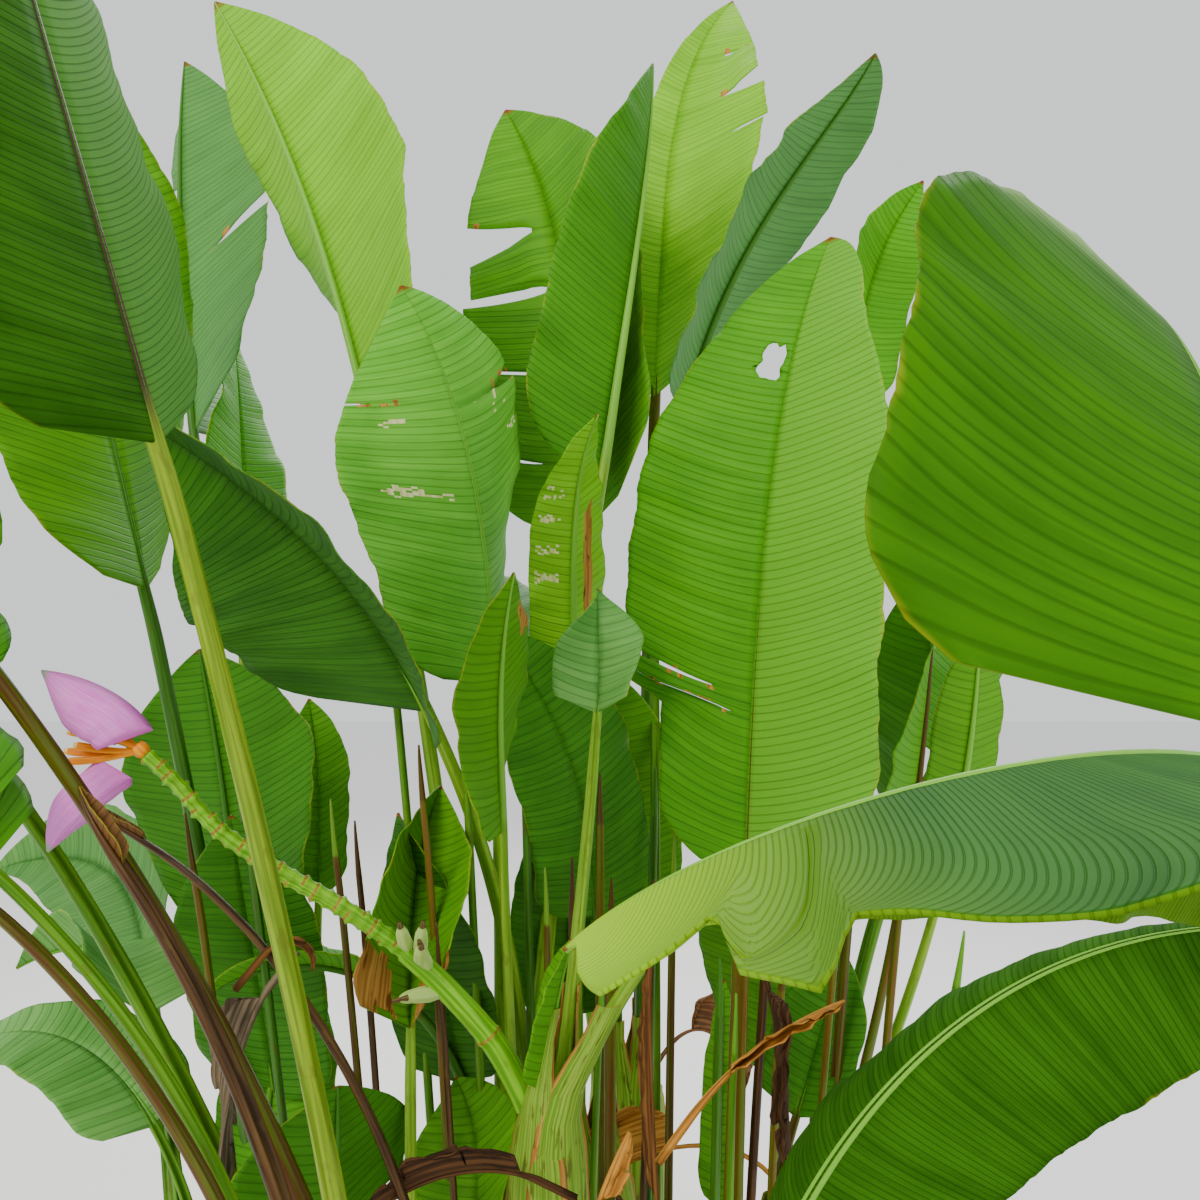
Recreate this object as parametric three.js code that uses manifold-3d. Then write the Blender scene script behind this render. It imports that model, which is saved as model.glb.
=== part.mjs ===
// Ornamental pink-flowered banana plant: one clump of leafy stems with a nodding flower stalk.
// Millimetres, +Z up. The origin is the middle of the flat cut under the flowering stem, at ground level.
// +Y points away from whoever looks at the plant's front, and +X to their right.
import * as THREE from "three";
import { mergeVertices } from "three/addons/utils/BufferGeometryUtils.js";
import Module from "manifold-3d";

const wasm = await Module();
wasm.setup();

// Clearance between neighbouring pieces
const GAP = 0.3;

// Stems: round, swollen at the foot, leaning out from the clump's middle
const STEM_SIDES = 12;
const FOOT_DRAW_IN = 0.75;
const LEAN_POWER = 1.3;
const FOOT_RADIUS = 56;
const WAIST_RADIUS = 49;
const WAIST_HEIGHT = 110;
const STEM_LEVELS = [0, 0.06, 0.16, 0.4, 0.7, 0.92, 1];

// Leaf stalks stand in six places round a stem's top, and a seventh in its middle
const PLACES_ROUND_TOP = 6;
const PLACE_RADIUS = 34;
const STALK_RADIUS = 12;
const STALK_TAPER = 0.7;
const KEEL_END_RADIUS = 3;
const KEEL_DEPTH = 1.6;
const FULL_STALK_BLADE = 500;
const THIN_STALK = 0.65;
const STALK_STATIONS = [0, 0.14, 0.38, 0.6, 0.82];
const BEND_STATION = 4;

// Blades: half-width as a share of the full one, from a round base to a drawn-out tip
const BLADE_BASE_SHARE = 0.18;
const BLADE_FULL_SHARE = 0.55;
const BLADE_POINT_POWER = 1.6;
const BLADE_TIP_POWER = 0.9;
const BLADE_THICKNESS_SHARE = 0.0104;
const MARGIN_THICKNESS_SHARE = 0.6;
const LEAST_HALF_WIDTH = 3;
const FLAT_TIP_SHARE = 2;
const LARGE_BLADE = 340;
const LARGE_STATIONS = [0, 0.025, 0.08, 0.18, 0.32, 0.46, 0.58, 0.7, 0.8, 0.89, 0.96, 1];
const SMALL_STATIONS = [0, 0.04, 0.18, 0.4, 0.62, 0.82, 0.95, 1];
const CENTRE_STEP = 8;
const TEAR_SLANT = 0.008;

const { degToRad: radians, clamp } = THREE.MathUtils;
const mix = (a, b, share) => a + (b - a) * share;

// Each stem: where its middle stands at its top, its height, and its radius there. reach is how far from its
// middle its leaves stand, where that differs.
const stems = [
  { name: "flower", top: [0, 0], height: 1000, radius: 34, reach: 20 },
  { name: "left", top: [-105, -110], height: 640, radius: 50 },
  { name: "outer_left", top: [-150, -218], foot: [-160, -190], height: 760, radius: 46 },
  { name: "low_left", top: [-350, 40], height: 430, radius: 46 },
  { name: "far_left", top: [-330, 260], height: 600, radius: 48 },
  { name: "mid_left", top: [-60, 210], height: 760, radius: 50 },
  { name: "middle", top: [40, 330], height: 800, radius: 48 },
  { name: "back", top: [90, 520], height: 820, radius: 48 },
  { name: "mid_right", top: [190, 130], height: 720, radius: 48 },
  { name: "far_right", top: [330, 400], height: 760, radius: 48 },
  { name: "near_right", top: [450, -560], height: 620, radius: 50 },
  { name: "front", top: [120, -190], height: 560, radius: 48 },
];

// Each leaf: its stem and place there, the way it leans, and the sizes of its stalk and blade.
// Angles are in degrees. heading is the compass way it leans, and lean and tipLean how far from upright at
// its foot and tip. bend is how late it bows, and veer how far the blade turns aside. roll and twist turn
// the blade about its rib. slope and curl are how far each half, left then right, rises from the rib.
// narrow scales the halves' widths, and each tear is a half (-1 left, 1 right), the shares of the blade it
// runs from and to, and how deep it goes. A leaf that arches over a wide gap is parted at its bend.
const leaves = [
  {
    name: "leaf_left_tall", stem: "left", place: 4, heading: -137, lean: 8.5, tipLean: 21,
    bend: 1.0, veer: 50, stalk: 1000, blade: 640, width: 390,
    roll: -40, twist: -24, slope: [-6, 6], curl: [-20, -16],
  },
  {
    name: "leaf_left_behind", stem: "far_left", place: 5, heading: 201, lean: 8.5, tipLean: 16,
    bend: 1.7, veer: -40, stalk: 925, blade: 655, width: 320,
    roll: -13, twist: -59, slope: [-3, 6], curl: [-19, -13],
    tint: "deep",
  },
  {
    name: "leaf_light_arching", stem: "mid_left", place: 2, heading: 148, lean: 8.5, tipLean: 30,
    bend: 2.1, veer: 29, stalk: 815, blade: 775, width: 370,
    roll: 33, twist: 39, slope: [17, 20], curl: [-2, 0],
  },
  {
    name: "leaf_scraped", stem: "mid_left", place: 6, heading: 223, lean: 0.5, tipLean: 33,
    bend: 4.3, veer: -35, stalk: 645, blade: 460, width: 350,
    roll: -51, twist: -20, slope: [-8, -3], curl: [-20, -24],
    tint: "grey",
    tears: [[-1, 0.71, 0.72, 0.5], [1, 0.66, 0.7, 0.4]],
  },
  {
    name: "leaf_dark_slanting", stem: "mid_left", place: 0, heading: 227, lean: 0.5, tipLean: 60,
    bend: 1.3, veer: -61, stalk: 650, blade: 415, width: 370,
    roll: -181, twist: 57, slope: [12, 32], curl: [-7, 12],
    tint: "deep",
  },
  {
    name: "leaf_pale_behind", stem: "far_left", place: 3, heading: 108, lean: 15, tipLean: 12,
    bend: 3.1, veer: 22, stalk: 850, blade: 495, width: 170,
    roll: 20, twist: 35, slope: [13, 9], curl: [-7, -12],
  },
  {
    name: "leaf_torn_grey", stem: "far_left", place: 2, heading: 124, lean: 16, tipLean: 15,
    bend: 2.1, veer: -31, stalk: 1185, blade: 615, width: 360,
    roll: 61, twist: 71, slope: [26, 20], curl: [4, 0],
    tint: "grey",
    tears: [[-1, 0.4, 0.42, 0.6], [1, 0.52, 0.56, 0.7], [1, 0.7, 0.72, 0.5]],
  },
  {
    name: "leaf_torn_to_rib", stem: "middle", place: 1, heading: 103, lean: 3.5, tipLean: 40,
    bend: 1.7, veer: 25, stalk: 805, blade: 780, width: 310,
    roll: -50, twist: 10, slope: [13, 20], curl: [-5, 0],
    tears: [[-1, 0.12, 0.13, 0.6], [-1, 0.3, 0.32, 0.75], [-1, 0.46, 0.53, 0.85], [-1, 0.61, 0.68, 0.8]],
  },
  {
    name: "leaf_rolled_dark", stem: "mid_left", place: 1, heading: 49, lean: 7, tipLean: 18,
    bend: 1.5, veer: 35, stalk: 905, blade: 600, width: 240,
    roll: -68, twist: 21, slope: [29, 39], curl: [8, 19],
    tint: "deep",
  },
  {
    name: "leaf_lobed_behind", stem: "back", place: 1, heading: 75, lean: 5, tipLean: 45,
    bend: 4.4, veer: -36, stalk: 990, blade: 765, width: 320,
    roll: -26, twist: 67, slope: [20, 19], curl: [0, 2],
    narrow: [0.3, 1],
    tears: [[1, 0.5, 0.52, 0.35], [1, 0.76, 0.79, 0.5]],
  },
  {
    name: "leaf_grey_slanting", stem: "back", place: 5, heading: -7, lean: 0.5, tipLean: 70,
    bend: 3.6, veer: -72, stalk: 935, blade: 540, width: 240,
    roll: -20, twist: 37, slope: [2, 2], curl: [-16, -18],
    tint: "grey",
  },
  {
    name: "leaf_centre", stem: "mid_right", place: 6, heading: 39, lean: 2.5, tipLean: 37,
    bend: 4.4, veer: 11, stalk: 480, blade: 760, width: 320,
    roll: 21, twist: -27, slope: [19, 10], curl: [0, -8],
  },
  {
    name: "leaf_right_broad", stem: "near_right", place: 4, heading: 91, lean: 1, tipLean: 95,
    bend: 4.0, veer: -22, stalk: 805, blade: 470, width: 500,
    roll: 17, twist: 45, slope: [-7, -10], curl: [-4, -30],
  },
  {
    name: "leaf_front_arching", stem: "near_right", place: 5, heading: 228, lean: 0.5, tipLean: 131,
    bend: 2.5, veer: -89, stalk: 845, blade: 350, width: 280,
    roll: 48, twist: -46, slope: [-28, -50], curl: [19, 0],
    tint: "deep",
    narrow: [1, 0.35], parted: true,
  },
  {
    name: "leaf_low_dark", stem: "front", place: 6, heading: 4, lean: 2, tipLean: 109,
    bend: 1.6, veer: -40, stalk: 360, blade: 695, width: 240,
    roll: 33, twist: -19, slope: [-17, -19], curl: [-42, -29],
    tint: "deep", parted: true,
  },
  {
    name: "leaf_young_yellow", stem: "mid_left", place: 5, heading: -94, lean: 12.5, tipLean: 17,
    bend: 2.1, veer: 53, stalk: 515, blade: 275, width: 160,
    roll: 92, twist: -80, slope: [14, 4], curl: [-1, -14],
  },
  {
    name: "leaf_burnt_tip", stem: "left", place: 2, heading: 99, lean: 15.5, tipLean: 32,
    bend: 1.6, veer: -48, stalk: 445, blade: 260, width: 170,
    roll: -21, twist: 84, slope: [45, 47], curl: [26, 27],
  },
  {
    name: "leaf_young_torn", stem: "middle", place: 4, heading: 267, lean: 3, tipLean: 50,
    bend: 3.2, veer: 30, stalk: 600, blade: 345, width: 100,
    roll: 22, twist: 1, slope: [21, 17], curl: [1, -3],
  },
  {
    name: "leaf_dark_ribbed", stem: "middle", place: 5, heading: 252, lean: 2.5, tipLean: 37,
    bend: 1.5, veer: -86, stalk: 325, blade: 385, width: 160,
    roll: -133, twist: 72, slope: [4, 16], curl: [-16, -4],
    tint: "deep",
  },
  {
    name: "leaf_left_shaded", stem: "far_left", place: 6, heading: 150, lean: 6, tipLean: 14,
    bend: 1.8, veer: 11, stalk: 495, blade: 355, width: 300,
    roll: 67, twist: 37, slope: [7, 0], curl: [-11, -20],
    tint: "deep",
  },
  {
    name: "leaf_tattered", stem: "flower", place: 1, heading: 71, lean: 18.5, tipLean: 2,
    bend: 2.7, veer: 87, stalk: 395, blade: 135, width: 100,
    roll: -16, twist: 25, slope: [21, 21], curl: [1, 2],
  },
  {
    name: "leaf_left_edge", stem: "left", place: 6, heading: 185, lean: 13.5, tipLean: 49,
    bend: 1.0, veer: -40, stalk: 940, blade: 450, width: 250,
    roll: 56, twist: -80, slope: [21, 18], curl: [1, -2],
  },
  {
    name: "leaf_right_inner", stem: "far_right", place: 5, heading: -58, lean: 20, tipLean: 2,
    bend: 1.3, veer: 29, stalk: 470, blade: 335, width: 170,
    roll: 37, twist: 26, slope: [31, 23], curl: [11, 6],
  },
  {
    name: "leaf_right_inner_small", stem: "far_right", place: 0, heading: -47, lean: 23.5, tipLean: 2,
    bend: 1.7, veer: 3, stalk: 490, blade: 255, width: 100,
    roll: -20, twist: -4, slope: [12, 14], curl: [-8, -6],
  },
  {
    name: "leaf_far_left_green", stem: "outer_left", place: 3, heading: 182, lean: 3, tipLean: 74,
    bend: 1.0, veer: -6, stalk: 630, blade: 325, width: 280,
    roll: 3, twist: -11, slope: [20, 20], curl: [0, 0],
  },
  {
    name: "leaf_far_left_brown", stem: "outer_left", place: 4, heading: 178, lean: 7, tipLean: 78,
    bend: 1.1, veer: 34, stalk: 600, blade: 310, width: 260,
    roll: 0, twist: 0, slope: [20, 20], curl: [0, 0],
  },
  {
    name: "leaf_far_left_thin", stem: "left", place: 3, heading: 165, lean: 24, tipLean: 68,
    bend: 1.7, veer: 4, stalk: 900, blade: 465, width: 240,
    roll: -6, twist: 22, slope: [20, 20], curl: [0, 0],
  },
  {
    name: "leaf_foot_spotted", stem: "left", place: 1, heading: 85, lean: 20.5, tipLean: 49,
    bend: 1.0, veer: 52, stalk: 220, blade: 195, width: 140,
    roll: -39, twist: 12, slope: [22, 24], curl: [2, 3],
  },
  {
    name: "leaf_foot_dark", stem: "low_left", place: 5, heading: -22, lean: 21.5, tipLean: -1,
    bend: 1.8, veer: -5, stalk: 490, blade: 145, width: 210,
    roll: -17, twist: 1, slope: [13, 13], curl: [-7, -7],
    tint: "deep",
  },
  {
    name: "leaf_bright_strip", stem: "far_left", place: 0, heading: 99, lean: 17, tipLean: 22,
    bend: 2.0, veer: 33, stalk: 530, blade: 275, width: 120,
    roll: -26, twist: -5, slope: [20, 23], curl: [0, 3],
  },
  {
    name: "leaf_level_small", stem: "mid_left", place: 4, heading: 197, lean: 1, tipLean: 132,
    bend: 1.9, veer: -29, stalk: 365, blade: 190, width: 80,
    roll: 11, twist: -3, slope: [24, 23], curl: [4, 3],
    tint: "deep",
  },
  {
    name: "leaf_right_behind", stem: "far_right", place: 6, heading: 61, lean: 4, tipLean: 35,
    bend: 2.4, veer: -65, stalk: 1035, blade: 380, width: 130,
    roll: 62, twist: 16, slope: [27, 21], curl: [7, 1],
  },
  {
    name: "leaf_low_left", stem: "low_left", place: 6, heading: 125, lean: 5, tipLean: 119,
    bend: 2.5, veer: 88, stalk: 650, blade: 255, width: 160,
    roll: 8, twist: 29, slope: [22, 20], curl: [2, 0],
  },
  {
    name: "leaf_low_left_near", stem: "low_left", place: 1, heading: 160, lean: 1.5, tipLean: 127,
    bend: 3.0, veer: 36, stalk: 530, blade: 275, width: 140,
    roll: -25, twist: 23, slope: [6, 8], curl: [-13, -12],
  },
  {
    name: "leaf_low_left_far", stem: "low_left", place: 2, heading: 118, lean: 14, tipLean: 109,
    bend: 1.6, veer: 65, stalk: 690, blade: 485, width: 180,
    roll: -43, twist: -17, slope: [22, 25], curl: [3, 9],
    tint: "grey",
  },
  {
    name: "leaf_right_outer", stem: "near_right", place: 0, heading: 12, lean: 9, tipLean: 70,
    bend: 1.8, veer: 10, stalk: 600, blade: 520, width: 250,
    roll: 12, twist: -10, slope: [18, 18], curl: [6, 6],
    tint: "deep",
  },
  {
    name: "leaf_right_back", stem: "far_right", place: 1, heading: 24, lean: 12, tipLean: 78,
    bend: 1.7, veer: -12, stalk: 560, blade: 520, width: 230,
    roll: -8, twist: 12, slope: [20, 20], curl: [4, 4],
  },
  {
    name: "leaf_back_arching", stem: "back", place: 3, heading: 118, lean: 16, tipLean: 88,
    bend: 1.7, veer: 14, stalk: 520, blade: 560, width: 240,
    roll: 10, twist: 8, slope: [18, 18], curl: [8, 8],
    tint: "deep",
  },
  {
    name: "leaf_front_low", stem: "front", place: 4, heading: -112, lean: 18, tipLean: 92,
    bend: 1.6, veer: 12, stalk: 330, blade: 420, width: 200,
    roll: 8, twist: -8, slope: [16, 18], curl: [10, 8],
  },
  {
    name: "leaf_short_stalk", stem: "flower", place: 5, heading: 8, lean: 24, tipLean: 42,
    bend: 1.3, veer: -9, stalk: 160, blade: 85, width: 50,
    roll: 0, twist: 0, slope: [20, 20], curl: [0, 0],
    thick: 11,
  },
  {
    name: "dead_stalk_thick", stem: "outer_left", place: 6, heading: 166, lean: 6, tipLean: 42,
    bend: 1.0, veer: -35, stalk: 565, blade: 80, width: 26,
    roll: 0, twist: 0, slope: [60, 60], curl: [0, 0],
    thick: 10, tint: "dead",
  },
  {
    name: "dead_stalk_thin", stem: "left", place: 0, heading: 162, lean: 1, tipLean: 74,
    bend: 1.3, veer: -6, stalk: 750, blade: 90, width: 16,
    roll: 18, twist: -30, slope: [60, 60], curl: [0, 0],
    thick: 6, tint: "dead",
  },
];

// The flower stalk's middle line, from its stem's top to the bracts
const stalkLine = [
  [-18, 0, 1000],
  [-27, -2, 1022],
  [-57, -5, 1075],
  [-133, -15, 1158],
  [-193, -30, 1206],
  [-255, -45, 1248],
  [-303, -60, 1287],
  [-341, -75, 1336],
  [-363, -80, 1359],
];
const STALK_SIDES = 8;
const PEDUNCLE_RADIUS = 13;
const RACHIS_RADIUS = 8;
const SMOOTH_SHARE = 0.4;
const SCAR_COUNT = 22;
const SCAR_RISE = 2.6;

// Fruits: share along the stalk, the way each points, and its length
const fruits = [
  { share: 0.36, toward: [0.1, -0.35, 0.94], length: 46 },
  { share: 0.38, toward: [-0.2, -0.5, 0.84], length: 44 },
  { share: 0.33, toward: [-0.15, -0.6, 0.79], length: 50 },
  { share: 0.35, toward: [0.05, -0.75, 0.66], length: 46 },
  { share: 0.29, toward: [-0.93, -0.3, -0.12], length: 50 },
  { share: 0.28, toward: [-0.86, -0.5, 0.05], length: 48 },
];
const FRUIT_RADIUS = 7;
const FRUIT_SUNK = 9;

// Flowers: a fan of tubes between the bracts
const FLOWER_COUNT = 6;
const FLOWER_LENGTH = 68;
const FLOWER_RADIUS = 3.4;
const FLOWER_FAN = 34;
const FLOWER_HEADING = 171;
const FLOWER_SWAY = 0.2;

const leafColours = {
  fresh: 0x6fa32a,
  deep: 0x2f6b2b,
  grey: 0x6f9678,
  dead: 0x6b4a2a,
};
const stemColour = 0x8a8f45;
const flowerStalkColour = 0x7fae3a;
const bractColour = 0xdd7fc0;
const flowerColour = 0xf2a32a;

function toSolid(positions, triangles) {
  const mesh = new wasm.Mesh({
    numProp: 3,
    vertProperties: Float32Array.from(positions),
    triVerts: Uint32Array.from(triangles),
  });
  return new wasm.Manifold(mesh);
}

// A closed solid through rings of points that all have the same number of points.
// A four-cornered face is cut from corner a, or from corner b where turned says so.
function loft(rings, turned = () => false) {
  const count = rings[0].length;
  const positions = rings.flat().flatMap((point) => [point.x, point.y, point.z]);
  const triangles = [];
  for (let ring = 0; ring + 1 < rings.length; ring += 1) {
    for (let side = 0; side < count; side += 1) {
      const a = ring * count + side;
      const b = ring * count + ((side + 1) % count);
      if (turned(side)) {
        triangles.push(a, b, a + count, b, b + count, a + count);
      } else {
        triangles.push(a, b, b + count, a, b + count, a + count);
      }
    }
  }
  const last = (rings.length - 1) * count;
  for (let side = 1; side + 1 < count; side += 1) {
    triangles.push(0, side + 1, side);
    triangles.push(last, last + side, last + side + 1);
  }
  const solid = toSolid(positions, triangles);
  return solid.volume() > 0 ? solid : toSolid(positions, triangles.reverse());
}

function geometryOf(solid) {
  const mesh = solid.getMesh();
  const geometry = new THREE.BufferGeometry();
  const points = new Float32Array((mesh.vertProperties.length / mesh.numProp) * 3);
  for (let vertex = 0; vertex < points.length / 3; vertex += 1) {
    for (let axis = 0; axis < 3; axis += 1) {
      points[vertex * 3 + axis] = mesh.vertProperties[vertex * mesh.numProp + axis];
    }
  }
  geometry.setAttribute("position", new THREE.BufferAttribute(points, 3));
  geometry.setIndex(new THREE.BufferAttribute(Uint32Array.from(mesh.triVerts), 1));
  return mergeVertices(geometry, 1e-4);
}

function circle(centre, across, up, radius, sides) {
  return Array.from({ length: sides }, (_, side) => {
    const angle = (side / sides) * 2 * Math.PI;
    return centre.clone()
      .addScaledVector(across, Math.cos(angle) * radius)
      .addScaledVector(up, Math.sin(angle) * radius);
  });
}

function stemSolid(stem) {
  const across = new THREE.Vector3(1, 0, 0);
  const up = new THREE.Vector3(0, 1, 0);
  const rings = STEM_LEVELS.map((level) => {
    const height = level * stem.height;
    const foot = stem.foot ?? stem.top.map((place) => place * FOOT_DRAW_IN);
    const draw = level ** LEAN_POWER;
    const centre = new THREE.Vector3(
      mix(foot[0], stem.top[0], draw),
      mix(foot[1], stem.top[1], draw),
      height,
    );
    const flare = clamp(1 - height / WAIST_HEIGHT, 0, 1);
    const shaft = mix(WAIST_RADIUS, stem.radius, level);
    return circle(centre, across, up, mix(shaft, FOOT_RADIUS, flare * flare), STEM_SIDES);
  });
  return loft(rings);
}

// Directions along, across and out of the upper face of a leaf, at a distance from its foot
function leafDirections(leaf, distance) {
  const total = leaf.stalk + leaf.blade;
  const share = clamp((distance - leaf.stalk) / leaf.blade, 0, 1);
  const bow = Math.pow(distance / total, leaf.bend);
  const lean = radians(mix(leaf.lean, leaf.tipLean, bow));
  const heading = radians(leaf.heading + leaf.veer * share * share);
  const roll = radians(leaf.roll + leaf.twist * share);
  const along = new THREE.Vector3(
    Math.sin(lean) * Math.cos(heading),
    Math.sin(lean) * Math.sin(heading),
    Math.cos(lean),
  );
  const face = new THREE.Vector3(
    -Math.cos(lean) * Math.cos(heading),
    -Math.cos(lean) * Math.sin(heading),
    Math.sin(lean),
  );
  const level = along.clone().cross(face);
  const out = face.multiplyScalar(Math.cos(roll)).addScaledVector(level, Math.sin(roll));
  return { along, out, across: along.clone().cross(out), share };
}

// The rib's points at the given distances, found by short steps
function ribPoints(leaf, foot, distances) {
  const points = [];
  const at = foot.clone();
  let gone = 0;
  for (const distance of distances) {
    const steps = Math.max(1, Math.ceil((distance - gone) / CENTRE_STEP));
    const step = (distance - gone) / steps;
    for (let count = 0; count < steps; count += 1) {
      at.addScaledVector(leafDirections(leaf, gone + step / 2).along, step);
      gone += step;
    }
    points.push(at.clone());
  }
  return points;
}

function bladeShape(share) {
  const base = Math.sqrt(1 - (1 - Math.min(share / BLADE_BASE_SHARE, 1)) ** 2);
  const beyond = Math.max((share - BLADE_FULL_SHARE) / (1 - BLADE_FULL_SHARE), 0);
  const tip = Math.max(1 - beyond ** BLADE_POINT_POWER, 0) ** BLADE_TIP_POWER;
  return base * tip;
}

function halfWidth(leaf, share, side) {
  const narrow = leaf.narrow ? leaf.narrow[side < 0 ? 0 : 1] : 1;
  let width = (leaf.width / 2) * bladeShape(share) * narrow;
  for (const [tornSide, from, to, depth] of leaf.tears ?? []) {
    if (tornSide === side && share >= from && share <= to) {
      width *= 1 - depth;
    }
  }
  return width;
}

// A point on one half of a blade, and the way its upper face looks there. The halves flatten out as open
// falls from 1 to 0, where the blade ends narrower than it is thick.
function halfPoint(at, directions, leaf, side, reach, width, open) {
  const which = side < 0 ? 0 : 1;
  const slope = radians(leaf.slope[which]) * open;
  const turn = (radians(leaf.curl[which]) * open * reach) / Math.max(width, 1e-6);
  const chord = Math.abs(turn) > 1e-6 ? (reach * Math.sin(turn / 2)) / (turn / 2) : reach;
  const rise = slope + turn / 2;
  const point = at.clone()
    .addScaledVector(directions.across, side * chord * Math.cos(rise))
    .addScaledVector(directions.out, chord * Math.sin(rise));
  const normal = directions.out.clone().multiplyScalar(Math.cos(slope + turn))
    .addScaledVector(directions.across, -side * Math.sin(slope + turn));
  return { point, normal };
}

// One ring round a blade: rib, left margin, keel, right margin
function bladeRing(leaf, at, directions, columns, thickness) {
  const { share } = directions;
  const tops = [];
  const bottoms = [];
  for (const side of [-1, 1]) {
    const width = Math.max(halfWidth(leaf, share, side), LEAST_HALF_WIDTH);
    const open = Math.min(width / (thickness * FLAT_TIP_SHARE), 1);
    const top = [];
    const bottom = [];
    for (let column = 1; column <= columns; column += 1) {
      const reach = (width * column) / columns;
      const thin = column === columns ? MARGIN_THICKNESS_SHARE : 1;
      const { point, normal } = halfPoint(at, directions, leaf, side, reach, width, open);
      top.push(point.clone().addScaledVector(normal, (thickness * thin) / 2));
      bottom.push(point.clone().addScaledVector(normal, (-thickness * thin) / 2));
    }
    tops.push(top);
    bottoms.push(bottom);
  }
  const keel = mix(stalkRadius(leaf) * STALK_TAPER, KEEL_END_RADIUS, share) * KEEL_DEPTH;
  const ribTop = at.clone().addScaledVector(directions.out, thickness / 2);
  const ribBottom = at.clone().addScaledVector(directions.out, -Math.max(keel, thickness / 2));
  return [
    ribTop, ...tops[0], ...bottoms[0].reverse(), ribBottom, ...bottoms[1], ...tops[1].reverse(),
  ];
}

function stalkRing(at, directions, radius, sides) {
  return Array.from({ length: sides }, (_, side) => {
    const angle = Math.PI / 2 + (side / sides) * 2 * Math.PI;
    return at.clone()
      .addScaledVector(directions.across, Math.cos(angle) * radius)
      .addScaledVector(directions.out, Math.sin(angle) * radius);
  });
}

function stationsOf(leaf) {
  const stations = [...(leaf.blade > LARGE_BLADE ? LARGE_STATIONS : SMALL_STATIONS)];
  for (const [, from, to] of leaf.tears ?? []) {
    stations.push(from - TEAR_SLANT, from, to, to + TEAR_SLANT);
  }
  return [...new Set(stations)].sort((a, b) => a - b);
}

const fullness = (leaf) => clamp(leaf.blade / FULL_STALK_BLADE, THIN_STALK, 1);
const stalkRadius = (leaf) => leaf.thick ?? STALK_RADIUS * fullness(leaf);

function leafSolids(leaf, foot, level) {
  const columns = leaf.blade > LARGE_BLADE ? 2 : 1;
  const sides = columns * 4 + 2;
  const thickness = leaf.thickness ?? Math.max(leaf.blade * BLADE_THICKNESS_SHARE, LEAST_HALF_WIDTH);
  const stalks = STALK_STATIONS.map((share) => share * leaf.stalk);
  const shares = stationsOf(leaf);
  const distances = [...stalks, ...shares.map((share) => leaf.stalk + share * leaf.blade)];
  const rings = ribPoints(leaf, foot, distances).map((at, index) => {
    const directions = leafDirections(leaf, distances[index]);
    if (index >= stalks.length) {
      directions.share = shares[index - stalks.length];
      if (index > stalks.length) {
        return bladeRing(leaf, at, directions, columns, thickness);
      }
    }
    const radius = stalkRadius(leaf) * mix(1, STALK_TAPER, distances[index] / leaf.stalk);
    if (index === 0 && level) {
      const upright = leafDirections({ ...leaf, lean: 0, tipLean: 0 }, 0);
      return stalkRing(at, upright, radius, sides);
    }
    return stalkRing(at, directions, radius, sides);
  });
  // Both faces of a twisted blade are cut the same way, so that they stay apart
  const goesInward = (side) => (side > columns && side <= columns * 2) || side > columns * 3 + 1;
  if (!leaf.parted) {
    return [loft(rings, goesInward)];
  }
  const { along } = leafDirections(leaf, distances[BEND_STATION]);
  const joint = rings[BEND_STATION].map((point) => point.clone().addScaledVector(along, GAP));
  const lower = loft(rings.slice(0, BEND_STATION + 1), goesInward);
  return [loft([joint, ...rings.slice(BEND_STATION + 1)], goesInward), lower];
}

function footOf(leaf) {
  const stem = stems.find((each) => each.name === leaf.stem);
  const angle = (leaf.place / PLACES_ROUND_TOP) * 2 * Math.PI;
  const reach = leaf.place < PLACES_ROUND_TOP ? stem.reach ?? PLACE_RADIUS : 0;
  return new THREE.Vector3(
    stem.top[0] + Math.cos(angle) * reach,
    stem.top[1] + Math.sin(angle) * reach,
    stem.height + GAP,
  );
}

function taperedBody(start, toward, length, radii, sides) {
  const along = new THREE.Vector3(...toward).normalize();
  const across = new THREE.Vector3(0, 0, 1).cross(along).normalize();
  const up = along.clone().cross(across);
  const rings = radii.map(([share, radius]) => {
    const centre = start.clone().addScaledVector(along, share * length);
    return circle(centre, across, up, radius, sides);
  });
  return loft(rings);
}

const stalkCurve = new THREE.CatmullRomCurve3(stalkLine.map((point) => new THREE.Vector3(...point)));

function flowerStalkRadius(share) {
  if (share < SMOOTH_SHARE) {
    return mix(PEDUNCLE_RADIUS, PEDUNCLE_RADIUS * 0.85, share / SMOOTH_SHARE);
  }
  const knobbly = (share - SMOOTH_SHARE) / (1 - SMOOTH_SHARE);
  return mix(PEDUNCLE_RADIUS * 0.75, RACHIS_RADIUS * 0.9, knobbly);
}

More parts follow.
